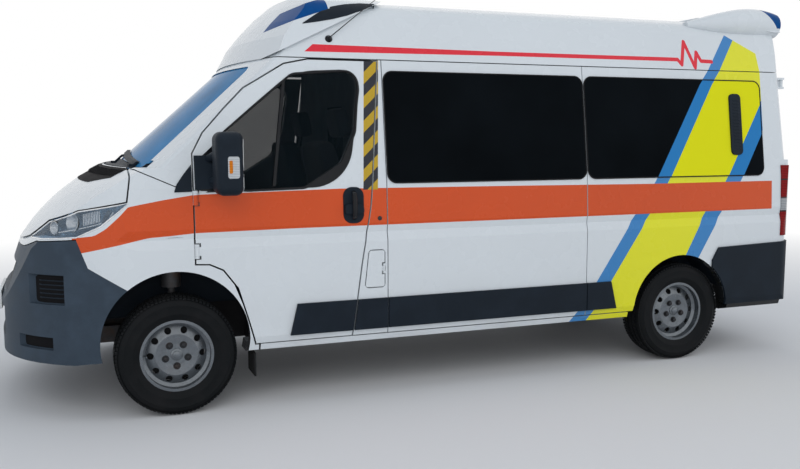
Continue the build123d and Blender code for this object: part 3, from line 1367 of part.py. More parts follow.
# Small fittings: mud flaps and wipers
flap_x = FRONT_AXLE_X - FRONT_ARCH_RADIUS - 26.0
flap_y = (KINGPIN_Y + 30, HALF_WIDTH - SILL_TUCK + 70)
flap_front = block((flap_x - 10, flap_x), flap_y, (180, SILL_Z - SEAT_GAP))
write("mud_flaps", both_sides(flap_front))

# Wipers, columns: y of the root, y of the tip, z of the root, z of the tip
WIPERS = ((610, -40, 1412, 1470), (-120, -740, 1436, 1432))
WIPER_WIDTH = 18.0
wiper_disc = round_bar((NOSE_AXIS_X, 0, 1200), (NOSE_AXIS_X, 0, 1600), BONNET_REAR_RADIUS - 45)
wiper_strips = []
for root_y, tip_y, root_z, tip_z in WIPERS:
    blade = [(root_y, root_z), (root_y, root_z + WIPER_WIDTH), (tip_y, tip_z + WIPER_WIDTH), (tip_y, tip_z)]
    wiper_strips.append(front_prism(blade, FRONT_AXLE_X, BIG))
    foot_z = (root_z - 40, root_z + WIPER_WIDTH)
    wiper_strips.append(block((FRONT_AXLE_X, BIG), (root_y - 15, root_y + 15), foot_z))
wipers = common(joined(*wiper_strips), trim_layer, wiper_disc)
write("wipers", wipers)
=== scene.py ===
"""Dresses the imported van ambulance: paint and stripes, tyres, lamps, trim, seats and the studio."""
import json
import math

import bmesh
import bpy
from bpy.props import FloatProperty, FloatVectorProperty, IntProperty, PointerProperty
from mathutils import Matrix, Vector
from mathutils.bvhtree import BVHTree


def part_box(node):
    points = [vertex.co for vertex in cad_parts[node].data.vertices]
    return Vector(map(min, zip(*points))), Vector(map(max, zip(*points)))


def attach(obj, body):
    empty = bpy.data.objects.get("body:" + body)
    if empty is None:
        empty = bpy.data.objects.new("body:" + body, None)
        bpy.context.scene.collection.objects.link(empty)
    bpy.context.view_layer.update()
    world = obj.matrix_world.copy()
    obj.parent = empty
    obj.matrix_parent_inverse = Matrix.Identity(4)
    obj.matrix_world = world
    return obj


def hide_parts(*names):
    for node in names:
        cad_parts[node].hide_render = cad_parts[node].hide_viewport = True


bl_info = {
    "name": "Van ambulance dressing",
    "version": (1, 0, 0),
    "blender": (4, 5, 0),
    "location": "View3D > Sidebar > Ambulance",
    "description": "Dresses the packed van ambulance with paint, stripes, tyres, lamps and trim",
    "category": "Object",
}

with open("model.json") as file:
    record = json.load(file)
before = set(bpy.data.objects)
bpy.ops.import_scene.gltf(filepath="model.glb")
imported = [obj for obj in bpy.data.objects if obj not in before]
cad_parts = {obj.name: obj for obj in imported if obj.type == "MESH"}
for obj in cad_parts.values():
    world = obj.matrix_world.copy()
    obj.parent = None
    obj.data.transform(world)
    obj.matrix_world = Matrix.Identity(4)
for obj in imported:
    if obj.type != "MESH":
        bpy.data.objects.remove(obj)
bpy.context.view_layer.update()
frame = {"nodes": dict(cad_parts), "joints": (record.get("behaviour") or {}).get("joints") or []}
NODES = frame["nodes"]
JOINTS = {joint["name"]: joint for joint in frame["joints"]}
CORNERS = [(end, hand) for end in ("front", "rear") for hand in ("left", "right")]
HANDS = {"left": 1.0, "right": -1.0}
MATERIALS = {}
SKINS = {}

# Upper and lower edge of the orange band, as X and Z in metres, and where it ends
BAND_TOP = [(-2.5, 1.252), (-1.4, 1.251), (-0.26, 1.261), (0.8, 1.268), (1.642, 1.252), (1.813, 1.227),
            (1.998, 1.194), (2.041, 1.147), (2.115, 1.078), (2.177, 1.040), (2.3, 1.026)]
BAND_LOW = [(-2.5, 1.050), (0.09, 1.045), (1.05, 1.044), (1.644, 1.038), (1.781, 1.027), (1.894, 1.021),
            (2.046, 0.989), (2.241, 0.947), (2.3, 0.935)]
BAND_REAR_X = -2.466
BAND_FRONT_X = 2.29
# Swoosh edges, as Z and X: front and rear of the first blue stripe, then of the second
SWOOSH = [
    [(0.30, -0.765), (0.616, -0.998), (1.051, -1.291), (1.257, -1.445), (1.931, -1.862), (2.36, -2.206)],
    [(0.30, -0.898), (0.609, -1.109), (1.047, -1.406), (1.255, -1.553), (1.933, -1.967), (2.36, -2.300)],
    [(0.30, -1.473), (0.750, -1.715), (1.053, -1.878), (1.246, -2.042), (1.798, -2.387), (2.36, -2.738)],
    [(0.30, -1.569), (0.744, -1.836), (1.048, -2.019), (1.243, -2.175), (1.619, -2.407), (2.36, -2.865)],
]
# The swoosh ends at the rear pillar, and below a line that falls towards the rear
SWOOSH_REAR_X = -2.405
SWOOSH_TOP_SLOPE = 0.5
SWOOSH_TOP = 3.370
# The red pulse line, as X and Z
PULSE = [(0.975, 2.092), (-1.66, 2.103), (-1.70, 2.103), (-1.728, 2.068), (-1.780, 2.232), (-1.838, 2.050),
         (-1.872, 2.160), (-1.900, 2.098), (-1.99, 2.096)]
# The line swells towards the front, where a slanted cut ends it; half thicknesses as shares of the size
PULSE_SWELL_X = (-0.3, 0.97)
PULSE_HALVES = (0.42, 0.72)
PULSE_CUT_SLOPE = 1.2
PULSE_CUT = 3.455
# The hazard strip leans with the door's rear edge
HAZARD_X = (0.560, 0.652)
HAZARD_Z = (1.258, 2.03)
HAZARD_FOOT = 1.268
HAZARD_LEAN = 0.053
HAZARD_PER_METRE = 6.9
HAZARD_BLACK = (0.012, 0.014, 0.022)

# How far a normal has to turn to a side, or up or down, for a face to count as such
SIDE_FACING = 0.35
LEVEL_FACING = 0.5
# Dirt begins at the first height and is full at the second
GRIME_TOP = 0.75
GRIME_FULL = 0.30
# Wheel arch axes as X and Z, how far from them the arch edges lie, and what counts as facing them
ARCHES = ((1.7585, 0.418), (-1.68, 0.36))
ARCH_REACH = 0.60
ARCH_FACING = -0.10
# The load floor's height and half width, and the height below which downward and inward faces are near black:
# underseal in part, painted shade in part
DECK_Z = 0.62
DECK_HALF = 0.97
UNDERSEAL_AND_SHADE_Z = 0.62
# Behind the rear wheels the body below the bumper is dark too
REAR_UNDER_X = -2.05
REAR_UNDER_Z = 0.42
# The bonnet's rear edge is an arc about this X with this radius
BONNET_ARC_X = -0.80
BONNET_ARC_RADIUS = 2.8765
# Air vent on the bonnet: half width, gap to the bonnet's rear edge, length, how high it stands and how deep
COWL_HALF = 0.80
COWL_BACK = 0.012
COWL_LENGTH = 0.150
COWL_LIFT = 0.005
COWL_SINK = 0.003
COWL_STATIONS = 32
COWL_FINS = 58


def metres(label, text, value):
    """A length that a user may change."""
    return FloatProperty(name=label, description=text, default=value, subtype="DISTANCE")


def number(label, text, value):
    """A number of pieces that a user may change."""
    return IntProperty(name=label, description=text, default=value)


def colour(label, text, value):
    """A colour that a user may change."""
    return FloatVectorProperty(
        name=label, description=text, default=value, size=3, min=0, max=1, subtype="COLOR")


class AmbulanceSizes(bpy.types.PropertyGroup):
    """Sizes of the dressing that a user may change."""

    tread_blocks: number("Tread blocks", "Blocks in one row round a tyre", 92)
    tread_depth: metres("Tread depth", "Height of the tread blocks", 0.006)
    nut_circle: metres("Nut circle", "Radius of the wheel nuts' circle", 0.066)
    nut_count: number("Wheel nuts", "Nuts on one wheel", 5)
    nut_radius: metres("Nut size", "Radius of one wheel nut", 0.0145)
    plate_width: metres("Plate width", "Width of the blank number plates", 0.52)
    plate_height: metres("Plate height", "Height of the blank number plates", 0.11)
    pulse_thickness: metres("Pulse line", "Thickness of the red line", 0.032)
    aerial_length: metres("Aerial length", "Length of the roof aerial", 0.46)


class AmbulanceColours(bpy.types.PropertyGroup):
    """Colours of the dressing that a user may change."""

    body: colour("Body", "White of the body paint", (0.66, 0.70, 0.725))
    band: colour("Band", "Orange of the waist band", (0.63, 0.070, 0.006))
    swoosh: colour("Swoosh", "Yellow of the rear swoosh", (0.74, 0.73, 0.014))
    edge: colour("Swoosh edge", "Blue of the swoosh's edges", (0.032, 0.205, 0.49))
    pulse: colour("Pulse", "Red of the pulse line", (0.70, 0.016, 0.036))
    hazard: colour("Hazard", "Mustard of the hazard strip", (0.48, 0.31, 0.012))
    bumper: colour("Bumper", "Grey of the front bumper", (0.036, 0.052, 0.072))
    cladding: colour("Cladding", "Near black of the mouldings", (0.007, 0.012, 0.019))
    glass: colour("Side glass", "Tint of the privacy glass", (0.0022, 0.0032, 0.0042))
    beacon: colour("Beacon", "Blue of the beacons", (0.006, 0.085, 0.30))
    steel: colour("Rims", "Silver of the steel rims", (0.19, 0.21, 0.23))
    rubber: colour("Tyres", "Black of the tyres", (0.0055, 0.0065, 0.0075))


class Shader:
    """One material's node tree, on the piece's own Object coordinates."""

    def __init__(self, name):
        self.material = bpy.data.materials.new(name)
        self.material.use_nodes = True
        self.tree = self.material.node_tree
        self.tree.nodes.clear()
        self.output = self.node("ShaderNodeOutputMaterial")
        self.surface = self.node("ShaderNodeBsdfPrincipled")
        self.link(self.surface.outputs["BSDF"], self.output.inputs["Surface"])
        self.place = self.node("ShaderNodeTexCoord")
        self.x, self.y, self.z = self.split(self.place.outputs["Object"])
        MATERIALS[name] = self.material

    def node(self, kind, **settings):
        made = self.tree.nodes.new(kind)
        for key, value in settings.items():
            setattr(made, key, value)
        return made

    def link(self, source, target):
        self.tree.links.new(source, target)

    def put(self, target, value):
        """Links a socket or sets a plain value."""
        if isinstance(value, bpy.types.NodeSocket):
            self.link(value, target)
        elif hasattr(value, "__len__") and len(value) == 3 and target.type == "RGBA":
            target.default_value = (*value, 1.0)
        else:
            target.default_value = value

    def split(self, vector):
        made = self.node("ShaderNodeSeparateXYZ")
        self.link(vector, made.inputs[0])
        return made.outputs[0], made.outputs[1], made.outputs[2]

    def math(self, operation, first, second=0.0):
        made = self.node("ShaderNodeMath", operation=operation)
        for target, value in zip(made.inputs, (first, second)):
            self.put(target, value)
        return made.outputs[0]

    def above(self, value, limit):
        return self.math("GREATER_THAN", value, limit)

    def below(self, value, limit):
        return self.math("LESS_THAN", value, limit)

    def both(self, first, second):
        return self.math("MULTIPLY", first, second)

    def between(self, value, low, high):
        return self.both(self.above(value, low), self.below(value, high))

    def remap(self, value, low, high, to_low=0.0, to_high=1.0):
        made = self.node("ShaderNodeMapRange")
        for key, given in zip(("Value", "From Min", "From Max", "To Min", "To Max"),
                              (value, low, high, to_low, to_high)):
            self.put(made.inputs[key], given)
        return made.outputs["Result"]

    def line(self, value, points):
        """A broken line through points: its height at value."""
        low, high = points[0][0], points[-1][0]
        heights = [p[1] for p in points]
        floor, top = min(heights), max(heights)
        made = self.node("ShaderNodeFloatCurve")
        curve = made.mapping.curves[0]
        while len(curve.points) < len(points):
            curve.points.new(0.5, 0.5)
        for dot, (along, height) in zip(curve.points, points):
            dot.location = ((along - low) / (high - low), (height - floor) / (top - floor))
            dot.handle_type = "VECTOR"
        made.mapping.update()
        self.link(self.remap(value, low, high), made.inputs["Value"])
        return self.remap(made.outputs[0], 0.0, 1.0, floor, top)

    def mix(self, share, first, second):
        made = self.node("ShaderNodeMix", data_type="RGBA")
        for index, value in ((0, share), (6, first), (7, second)):
            self.put(made.inputs[index], value)
        return made.outputs[2]

    def texture(self, kind, **values):
        """A texture node on the Object coordinates."""
        made = self.node(kind)
        self.link(self.place.outputs["Object"], made.inputs["Vector"])
        for key, value in values.items():
            made.inputs[key].default_value = value
        return made

    def noise(self, scale, detail, roughness=0.5):
        made = self.texture("ShaderNodeTexNoise", Scale=scale, Detail=detail, Roughness=roughness)
        return made.outputs["Fac"]

    def cells(self, scale):
        return self.texture("ShaderNodeTexVoronoi", Scale=scale).outputs["Distance"]

    def normal(self):
        """The surface normal's X, Y and Z."""
        return self.split(self.place.outputs["Normal"])

    def vector(self, operation, first, second=(0, 0, 0), output="Vector"):
        made = self.node("ShaderNodeVectorMath", operation=operation)
        for target, value in zip(made.inputs, (first, second)):
            self.put(target, value)
        return made.outputs[output]

    def bump(self, height, distance, strength):
        made = self.node("ShaderNodeBump")
        made.inputs["Strength"].default_value = strength
        made.inputs["Distance"].default_value = distance
        self.link(height, made.inputs["Height"])
        self.link(made.outputs[0], self.surface.inputs["Normal"])

    def set(self, **values):
        for key, value in values.items():
            self.put(self.surface.inputs[key.replace("_", " ")], value)

    def distance_to(self, points):
        """How far the surface point is from a broken line in the X Z plane."""
        flat = self.node("ShaderNodeCombineXYZ")
        self.link(self.x, flat.inputs[0])
        self.link(self.z, flat.inputs[2])
        nearest = None
        for start, end in zip(points, points[1:]):
            a = Vector((start[0], 0, start[1]))
            run = Vector((end[0], 0, end[1])) - a
            from_start = self.vector("SUBTRACT", flat.outputs[0], a)
            along = self.vector("DOT_PRODUCT", from_start, run / run.length_squared, "Value")
            share = self.math("MINIMUM", self.math("MAXIMUM", along, 0.0), 1.0)
            foot = self.node("ShaderNodeVectorMath", operation="SCALE")
            foot.inputs[0].default_value = run
            self.link(share, foot.inputs["Scale"])
            off = self.vector("SUBTRACT", from_start, foot.outputs[0])
            gap = self.vector("LENGTH", off, output="Value")
            nearest = gap if nearest is None else self.math("MINIMUM", nearest, gap)
        return nearest


def toned(paint, share):
    """A colour made lighter or darker."""
    return tuple(c * share for c in paint)


def swoosh_on(shade, base, colours):
    """Yellow between two blue stripes over a base colour."""
    edges = [shade.line(shade.z, edge) for edge in SWOOSH]
    roofward = shade.math("SUBTRACT", shade.z, shade.math("MULTIPLY", shade.x, SWOOSH_TOP_SLOPE))
    room = shade.both(shade.above(shade.x, SWOOSH_REAR_X), shade.below(roofward, SWOOSH_TOP))
    for rear, front, paint in ((1, 0, colours.edge), (2, 1, colours.swoosh), (3, 2, colours.edge)):
        inside = shade.both(shade.above(shade.x, edges[rear]), shade.below(shade.x, edges[front]))
        inside = shade.both(inside, room)
        base = shade.mix(inside, base, paint)
    return base


def sideways(shade):
    """How far a surface faces away from the vehicle's middle, on either side: 1 is straight out."""
    return shade.math("MULTIPLY", shade.normal()[1], shade.math("SIGN", shade.y))


def outward(shade):
    """1 on a side's outer faces."""
    return shade.above(sideways(shade), SIDE_FACING)


def arch_return(shade, centre):
    """1 on faces that look in at a wheel arch's axis, given as X and Z."""
    normal_x, _, normal_z = shade.normal()
    along = shade.math("SUBTRACT", shade.x, centre[0])
    up = shade.math("SUBTRACT", shade.z, centre[1])
    facing = shade.math("ADD", shade.math("MULTIPLY", normal_x, along), shade.math("MULTIPLY", normal_z, up))
    reach = shade.math("ADD", shade.math("MULTIPLY", along, along), shade.math("MULTIPLY", up, up))
    return shade.both(shade.below(facing, ARCH_FACING), shade.below(reach, ARCH_REACH ** 2))


def band_on(shade, base, colours):
    """The orange band over a base colour."""
    inside = shade.both(shade.above(shade.z, shade.line(shade.x, BAND_LOW)),
                        shade.below(shade.z, shade.line(shade.x, BAND_TOP)))
    inside = shade.both(inside, shade.between(shade.x, BAND_REAR_X, BAND_FRONT_X))
    orange = shade.mix(shade.remap(shade.noise(1.4, 3), 0.3, 0.7), toned(colours.band, 0.93), colours.band)
    return shade.mix(inside, base, orange)


def pulse_on(shade, base, colours, sizes):
    """The red pulse line over a base colour."""
    thin, thick = (share * sizes.pulse_thickness for share in PULSE_HALVES)
    near = shade.below(shade.distance_to(PULSE), shade.remap(shade.x, *PULSE_SWELL_X, thin, thick))
    slanted = shade.math("ADD", shade.x, shade.math("MULTIPLY", shade.z, PULSE_CUT_SLOPE))
    return shade.mix(shade.both(near, shade.below(slanted, PULSE_CUT)), base, colours.pulse)


def hazard_on(shade, base, colours):
    """The striped hazard strip over a base colour."""
    lean = shade.math("MULTIPLY", shade.math("SUBTRACT", shade.z, HAZARD_FOOT), HAZARD_LEAN)
    upright = shade.math("ADD", shade.x, lean)
    inside = shade.both(shade.between(upright, *HAZARD_X), shade.between(shade.z, *HAZARD_Z))
    slant = shade.math("FRACT", shade.math("MULTIPLY", shade.math("ADD", upright, shade.z), HAZARD_PER_METRE))
    stripes = shade.mix(shade.above(slant, 0.5), HAZARD_BLACK, colours.hazard)
    return shade.mix(inside, base, stripes)


def livery_paint(colours, sizes):
    """White gloss paint with the orange band, the swoosh, the pulse line and the hazard strip."""
    shade = Shader("livery_paint")
    dirty = shade.remap(shade.noise(2.2, 6), 0.42, 0.75)
    grime = shade.both(shade.remap(shade.z, GRIME_TOP, GRIME_FULL), dirty)
    soft = shade.remap(shade.noise(0.9, 4), 0.3, 0.7)
    white = shade.mix(soft, toned(colours.body, 0.975), colours.body)
    painted = swoosh_on(shade, white, colours)
    painted = band_on(shade, painted, colours)
    painted = pulse_on(shade, painted, colours, sizes)
    painted = hazard_on(shade, painted, colours)
    inner = shade.mix(soft, (0.42, 0.44, 0.46), (0.50, 0.51, 0.53))
    faced = shade.mix(outward(shade), white, painted)
    inwards = shade.below(sideways(shade), -SIDE_FACING)
    faced = shade.mix(inwards, faced, inner)
    faced = shade.mix(shade.math("MULTIPLY", grime, 0.35), faced, (0.30, 0.28, 0.25))
    normal_z = shade.normal()[2]
    deck = shade.both(shade.above(normal_z, LEVEL_FACING), shade.below(shade.z, DECK_Z))
    deck = shade.both(deck, shade.below(shade.math("ABSOLUTE", shade.y), DECK_HALF))
    fleck = shade.remap(shade.cells(140.0), 0.1, 0.3)
    faced = shade.mix(deck, faced, shade.mix(fleck, (0.16, 0.18, 0.20), (0.26, 0.28, 0.30)))
    # Near black below the deck, behind the rear wheels and on the arch returns: underseal and black liners in
    # part, and painted shade in part, since the real arch lips are white
    low = shade.below(shade.z, UNDERSEAL_AND_SHADE_Z)
    under = shade.both(low, shade.below(normal_z, -LEVEL_FACING))
    under = shade.math("MAXIMUM", under, shade.both(low, inwards))
    behind = shade.both(shade.below(shade.x, REAR_UNDER_X), shade.below(shade.z, REAR_UNDER_Z))
    under = shade.math("MAXIMUM", under, behind)
    for centre in ARCHES:
        under = shade.math("MAXIMUM", under, arch_return(shade, centre))
    shade.set(Base_Color=shade.mix(under, faced, (0.010, 0.011, 0.012)))
    shade.set(Roughness=shade.remap(shade.math("ADD", shade.noise(6.0, 4), grime), 0.3, 1.2, 0.22, 0.42))
    shade.set(Coat_Weight=0.2, Coat_Roughness=0.05, Specular_IOR_Level=0.3)


def striped_glass(colours):
    """Dark privacy glass with the swoosh's film over it."""
    shade = Shader("striped_glass")
    tint = shade.mix(shade.remap(shade.noise(1.6, 3), 0.35, 0.7), colours.glass, toned(colours.glass, 1.9))
    film = shade.mix(outward(shade), tint, swoosh_on(shade, tint, colours))
    shade.set(Base_Color=film, Roughness=shade.remap(shade.noise(9.0, 3), 0.2, 0.8, 0.03, 0.07))
    shade.set(Specular_IOR_Level=0.05, IOR=1.25)


def tinted_glass(name, tint, alpha):
    """See-through glass with a faint haze."""
    shade = Shader(name)
    haze = shade.mix(shade.remap(shade.noise(3.0, 4), 0.3, 0.8), tint, toned(tint, 1.6))
    shade.set(Base_Color=haze, Roughness=shade.remap(shade.noise(12.0, 2), 0.2, 0.8, 0.02, 0.05))
    shade.set(IOR=1.2, Alpha=alpha, Specular_IOR_Level=0.05)
    shade.material.surface_render_method = "BLENDED"


def moulded(name, paint, roughness, grain, depth, sheen=0.0):
    """Moulded plastic with a fine grain and faint scuffs."""
    shade = Shader(name)
    scuff = shade.remap(shade.noise(7.0, 6, 0.6), 0.45, 0.8)
    worn = tuple(min(1.0, c * 1.35 + 0.003) for c in paint)
    shade.set(Base_Color=shade.mix(scuff, paint, worn))
    shade.set(Roughness=shade.remap(scuff, 0, 1, roughness, min(1.0, roughness + 0.15)))
    shade.set(Specular_IOR_Level=0.15, Coat_Weight=sheen, Coat_Roughness=0.2)
    shade.bump(shade.cells(grain), depth, 0.5)


def metal(name, paint, roughness, rust=0.0):
    """Bare or silver-painted metal with streaks and a little rust or dust."""
    shade = Shader(name)
    streak = shade.remap(shade.noise(40.0, 5, 0.6), 0.3, 0.75)
    base = shade.mix(streak, toned(paint, 0.78), paint)
    patch = shade.math("MULTIPLY", shade.remap(shade.noise(9.0, 6, 0.65), 0.48, 0.72), rust)
    shade.set(Base_Color=shade.mix(patch, base, (0.16, 0.075, 0.035)))
    shade.set(Metallic=0.85, Roughness=shade.remap(streak, 0, 1, roughness + 0.12, roughness))
    shade.bump(shade.noise(120.0, 3), 0.0006, 0.25)


def tyre_rubber(colours):
    """Black rubber, dusty in places, with fine sidewall grain."""
    shade = Shader("tyre_rubber")
    dust = shade.remap(shade.noise(5.0, 6, 0.6), 0.46, 0.78)
    shade.set(Base_Color=shade.mix(dust, colours.rubber, (0.014, 0.014, 0.015)))
    shade.set(Roughness=shade.remap(dust, 0, 1, 0.58, 0.85), Specular_IOR_Level=0.12)
    shade.bump(shade.noise(420.0, 3), 0.0008, 0.4)


def lens(name, tint, alpha, ribs=0.0):
    """Clear or coloured lamp plastic with moulded ribs."""
    shade = Shader(name)
    wave = shade.math("SINE", shade.math("MULTIPLY", shade.z, ribs))
    depth = shade.remap(shade.math("ADD", wave, shade.noise(25.0, 2)), -1.0, 2.0)
    shade.set(Base_Color=shade.mix(depth, toned(tint, 0.55), tint), Alpha=alpha)
    shade.set(Roughness=0.06, IOR=1.25, Specular_IOR_Level=0.1)
    if ribs:
        shade.bump(wave, 0.0012, 0.6)
    if alpha < 1.0:
        shade.material.surface_render_method = "BLENDED"


# Heights of the tail lamp's clear segment and of the seams across it
TAIL_CLEAR_Z = (1.035, 1.125)
TAIL_SEAMS_Z = (1.030, 1.130, 1.260)
TAIL_SEAM_HALF = 0.004


def tail_lens():
    """Red tail lamp with a clear segment and dark seams."""
    shade = Shader("tail_lens")
    ribs = shade.math("SINE", shade.math("MULTIPLY", shade.z, 520.0))
    red = shade.mix(shade.remap(ribs, -1, 1), (0.14, 0.003, 0.004), (0.27, 0.007, 0.009))
    clear = shade.mix(shade.remap(ribs, -1, 1), (0.22, 0.23, 0.24), (0.42, 0.43, 0.44))
    tone = shade.mix(shade.between(shade.z, *TAIL_CLEAR_Z), red, clear)
    for seam in TAIL_SEAMS_Z:
        near = shade.between(shade.z, seam - TAIL_SEAM_HALF, seam + TAIL_SEAM_HALF)
        tone = shade.mix(near, tone, (0.03, 0.03, 0.03))
    shade.set(Base_Color=tone, Roughness=0.08, IOR=1.25, Specular_IOR_Level=0.3)
    shade.bump(ribs, 0.001, 0.5)


def woven_fabric(name, paint, thread):
    """Seat cloth with a crossed weave."""
    shade = Shader(name)
    across = shade.math("SINE", shade.math("MULTIPLY", shade.y, thread))
    along = shade.math("SINE", shade.math("MULTIPLY", shade.math("ADD", shade.x, shade.z), thread))
    weave = shade.remap(shade.math("MULTIPLY", across, along), -1, 1)
    worn = shade.remap(shade.noise(4.0, 5), 0.4, 0.75)
    tone = shade.mix(weave, toned(paint, 0.6), paint)
    shade.set(Base_Color=shade.mix(shade.math("MULTIPLY", worn, 0.3), tone, (0.20, 0.21, 0.23)))
    shade.set(Roughness=0.9, Sheen_Weight=0.35, Specular_IOR_Level=0.2)
    shade.bump(weave, 0.0012, 0.6)


def mirror_face():
    """Silvered mirror glass with a faint haze."""
    shade = Shader("mirror_face")
    haze = shade.remap(shade.noise(18.0, 4), 0.4, 0.9)
    shade.set(Base_Color=shade.mix(haze, (0.80, 0.83, 0.85), (0.70, 0.73, 0.75)), Metallic=1.0)
    shade.set(Roughness=shade.remap(haze, 0, 1, 0.02, 0.06))


def make_materials(colours, sizes):
    """Every finish on the vehicle."""
    livery_paint(colours, sizes)
    striped_glass(colours)
    # The windscreen's bright blue is partly the glass's tint and partly a painted reflection
    tinted_glass("screen_glass", (0.032, 0.175, 0.365), 0.88)
    tinted_glass("door_pane", (0.004, 0.007, 0.009), 0.50)
    tinted_glass("rear_pane", (0.003, 0.004, 0.005), 0.90)
    moulded("bumper_plastic", colours.bumper, 0.48, 900.0, 0.0005)
    moulded("cladding_plastic", colours.cladding, 0.50, 800.0, 0.0006)
    moulded("gloss_black", (0.006, 0.007, 0.009), 0.18, 500.0, 0.0002, 0.15)
    moulded("trim_plastic", (0.055, 0.058, 0.064), 0.62, 650.0, 0.0008)
    moulded("panel_lining", (0.40, 0.42, 0.44), 0.55, 400.0, 0.0006)
    moulded("plate_white", (0.72, 0.73, 0.72), 0.35, 300.0, 0.0002)
    # Near black plastic with painted shade of the openings behind it, for the cowl vent and the bumper
    # recesses
    moulded("dark_opening", (0.004, 0.004, 0.005), 0.8, 200.0, 0.0005)
    moulded("flap_rubber", (0.014, 0.014, 0.015), 0.8, 300.0, 0.001)
    metal("rim_steel", colours.steel, 0.24, 0.05)
    metal("nut_steel", (0.045, 0.047, 0.052), 0.45, 0.15)
    metal("cast_metal", (0.10, 0.10, 0.105), 0.55, 0.45)
    metal("pipe_steel", (0.32, 0.30, 0.28), 0.40, 0.35)
    metal("bright_reflector", (0.86, 0.88, 0.90), 0.10)
    tyre_rubber(colours)
    metal("lamp_housing", (0.16, 0.30, 0.46), 0.22)
    lens("headlamp_lens", (0.42, 0.52, 0.62), 0.22)
    lens("clear_lens", (0.75, 0.78, 0.80), 0.85, 700.0)
    lens("amber_lens", (0.80, 0.24, 0.02), 1.0, 700.0)
    lens("beacon_lens", colours.beacon, 1.0)
    tail_lens()
    woven_fabric("seat_cloth", (0.085, 0.095, 0.115), 900.0)
    mirror_face()


NODE_FINISH = {
    "livery_paint": ["bonnet", "cab_frame", "door_left", "door_right", "fairing_front", "fairing_rear",
                     "front_panel", "fuel_flap", "rear_door_left", "rear_door_right", "roof", "side_left",
                     "side_right", "sliding_door", "wings", "hinges", "floor"],
    "striped_glass": ["side_glass"],
    "screen_glass": ["windscreen"],
    "door_pane": ["door_glass_left", "door_glass_right"],
    "rear_pane": ["rear_glass_left", "rear_glass_right"],
    "bumper_plastic": ["bumper_front"],
    "cladding_plastic": ["cowl", "side_cladding", "door_trim_left", "door_trim_right", "bumper_rear",
                         "grille", "wipers", "wheel_housings"],
    "trim_plastic": ["dashboard", "steering_wheel", "firewall"],
    "panel_lining": ["bulkhead"],
    "cast_metal": ["engine", "knuckle_left", "knuckle_right", "front_suspension", "rear_axle",
                   "leaf_springs"],
    "pipe_steel": ["exhaust"],
    "flap_rubber": ["mud_flaps", "fuel_tank"],
    "headlamp_lens": ["headlamps"],
    "tail_lens": ["tail_lamps"],
    "beacon_lens": ["beacons"],
    "rim_steel": ["rim_front_left", "rim_front_right", "rim_rear_left", "rim_rear_right"],
    "tyre_rubber": ["tyre_front_left", "tyre_front_right", "tyre_rear_left", "tyre_rear_right"],
    "seat_cloth": ["cab_seats"],
}


# How far from the middle the lines that look for a surface start, beside the vehicle and at its ends
RAY_START = 3.0
RAY_START_X = 4.0
# Points closer than this are one point
MERGE = 1e-6
MERGE_CAD = 1e-5


def shares(steps):
    """Even shares from 0 to 1."""
    return [step / steps for step in range(steps + 1)]


def round_section(centre, first, second, radius, segments):
    """Points of a circle about centre, in the plane of two directions."""
    angles = [2 * math.pi * k / segments for k in range(segments)]
    return [centre + (first * math.cos(a) + second * math.sin(a)) * radius for a in angles]


def skin(*names):
    """A search tree over the CAD nodes named."""
    if names not in SKINS:
        points, faces = [], []
        for name in names:
            mesh = NODES[name].data
            start = len(points)
            points += [v.co.copy() for v in mesh.vertices]
            faces += [[start + i for i in p.vertices] for p in mesh.polygons]
        SKINS[names] = BVHTree.FromPolygons(points, faces)
    return SKINS[names]


def meet(names, origin, direction):
    """Where a line from origin first meets the CAD nodes named, and the surface normal there."""
    point, normal, _, _ = skin(*names).ray_cast(Vector(origin), Vector(direction).normalized())
    if point is None:
        raise RuntimeError(f"nothing of {names} lies ahead of {tuple(origin)}")
    if normal.dot(Vector(direction)) > 0:
        normal = -normal
    return point, normal


def side_point(names, x, z, side):
    """Where the CAD nodes named are met from the left, side 1, or the right, side -1."""
    return meet(names, (x, RAY_START * side, z), (0, -side, 0))


def outside_faces(name, aim):
    """A merged copy of a node's mesh, and its faces that look along aim, a rule for a face's middle."""
    copy = bmesh.new()
    copy.from_mesh(NODES[name].data)
    bmesh.ops.remove_doubles(copy, verts=copy.verts, dist=MERGE_CAD)
    copy.normal_update()
    outside = [face for face in copy.faces if face.normal.dot(aim(face.calc_center_median())) > 0.5]
    return copy, outside


def pane_edges(name, aim, spacing=0.004):
    """The outer edges of a node's panes, as closed loops of points."""
    copy, outside = outside_faces(name, aim)
    chosen = set(outside)
    ahead = {}
    for face in outside:
        for corner in face.loops:
            if sum(other in chosen for other in corner.edge.link_faces) == 1:
                ahead[corner.vert] = corner.link_loop_next.vert
    loops = []
    while ahead:
        start, vert = ahead.popitem()
        points = [start.co.copy()]
        while vert != start:
            if (vert.co - points[-1]).length > spacing:
                points.append(vert.co.copy())
            vert = ahead.pop(vert)
        if (points[0] - points[-1]).length < spacing:
            points.pop()
        loops.append(points)
    copy.free()
    return loops


# Edges that bend by more than this stay sharp
SHARP_ANGLE = math.radians(38)


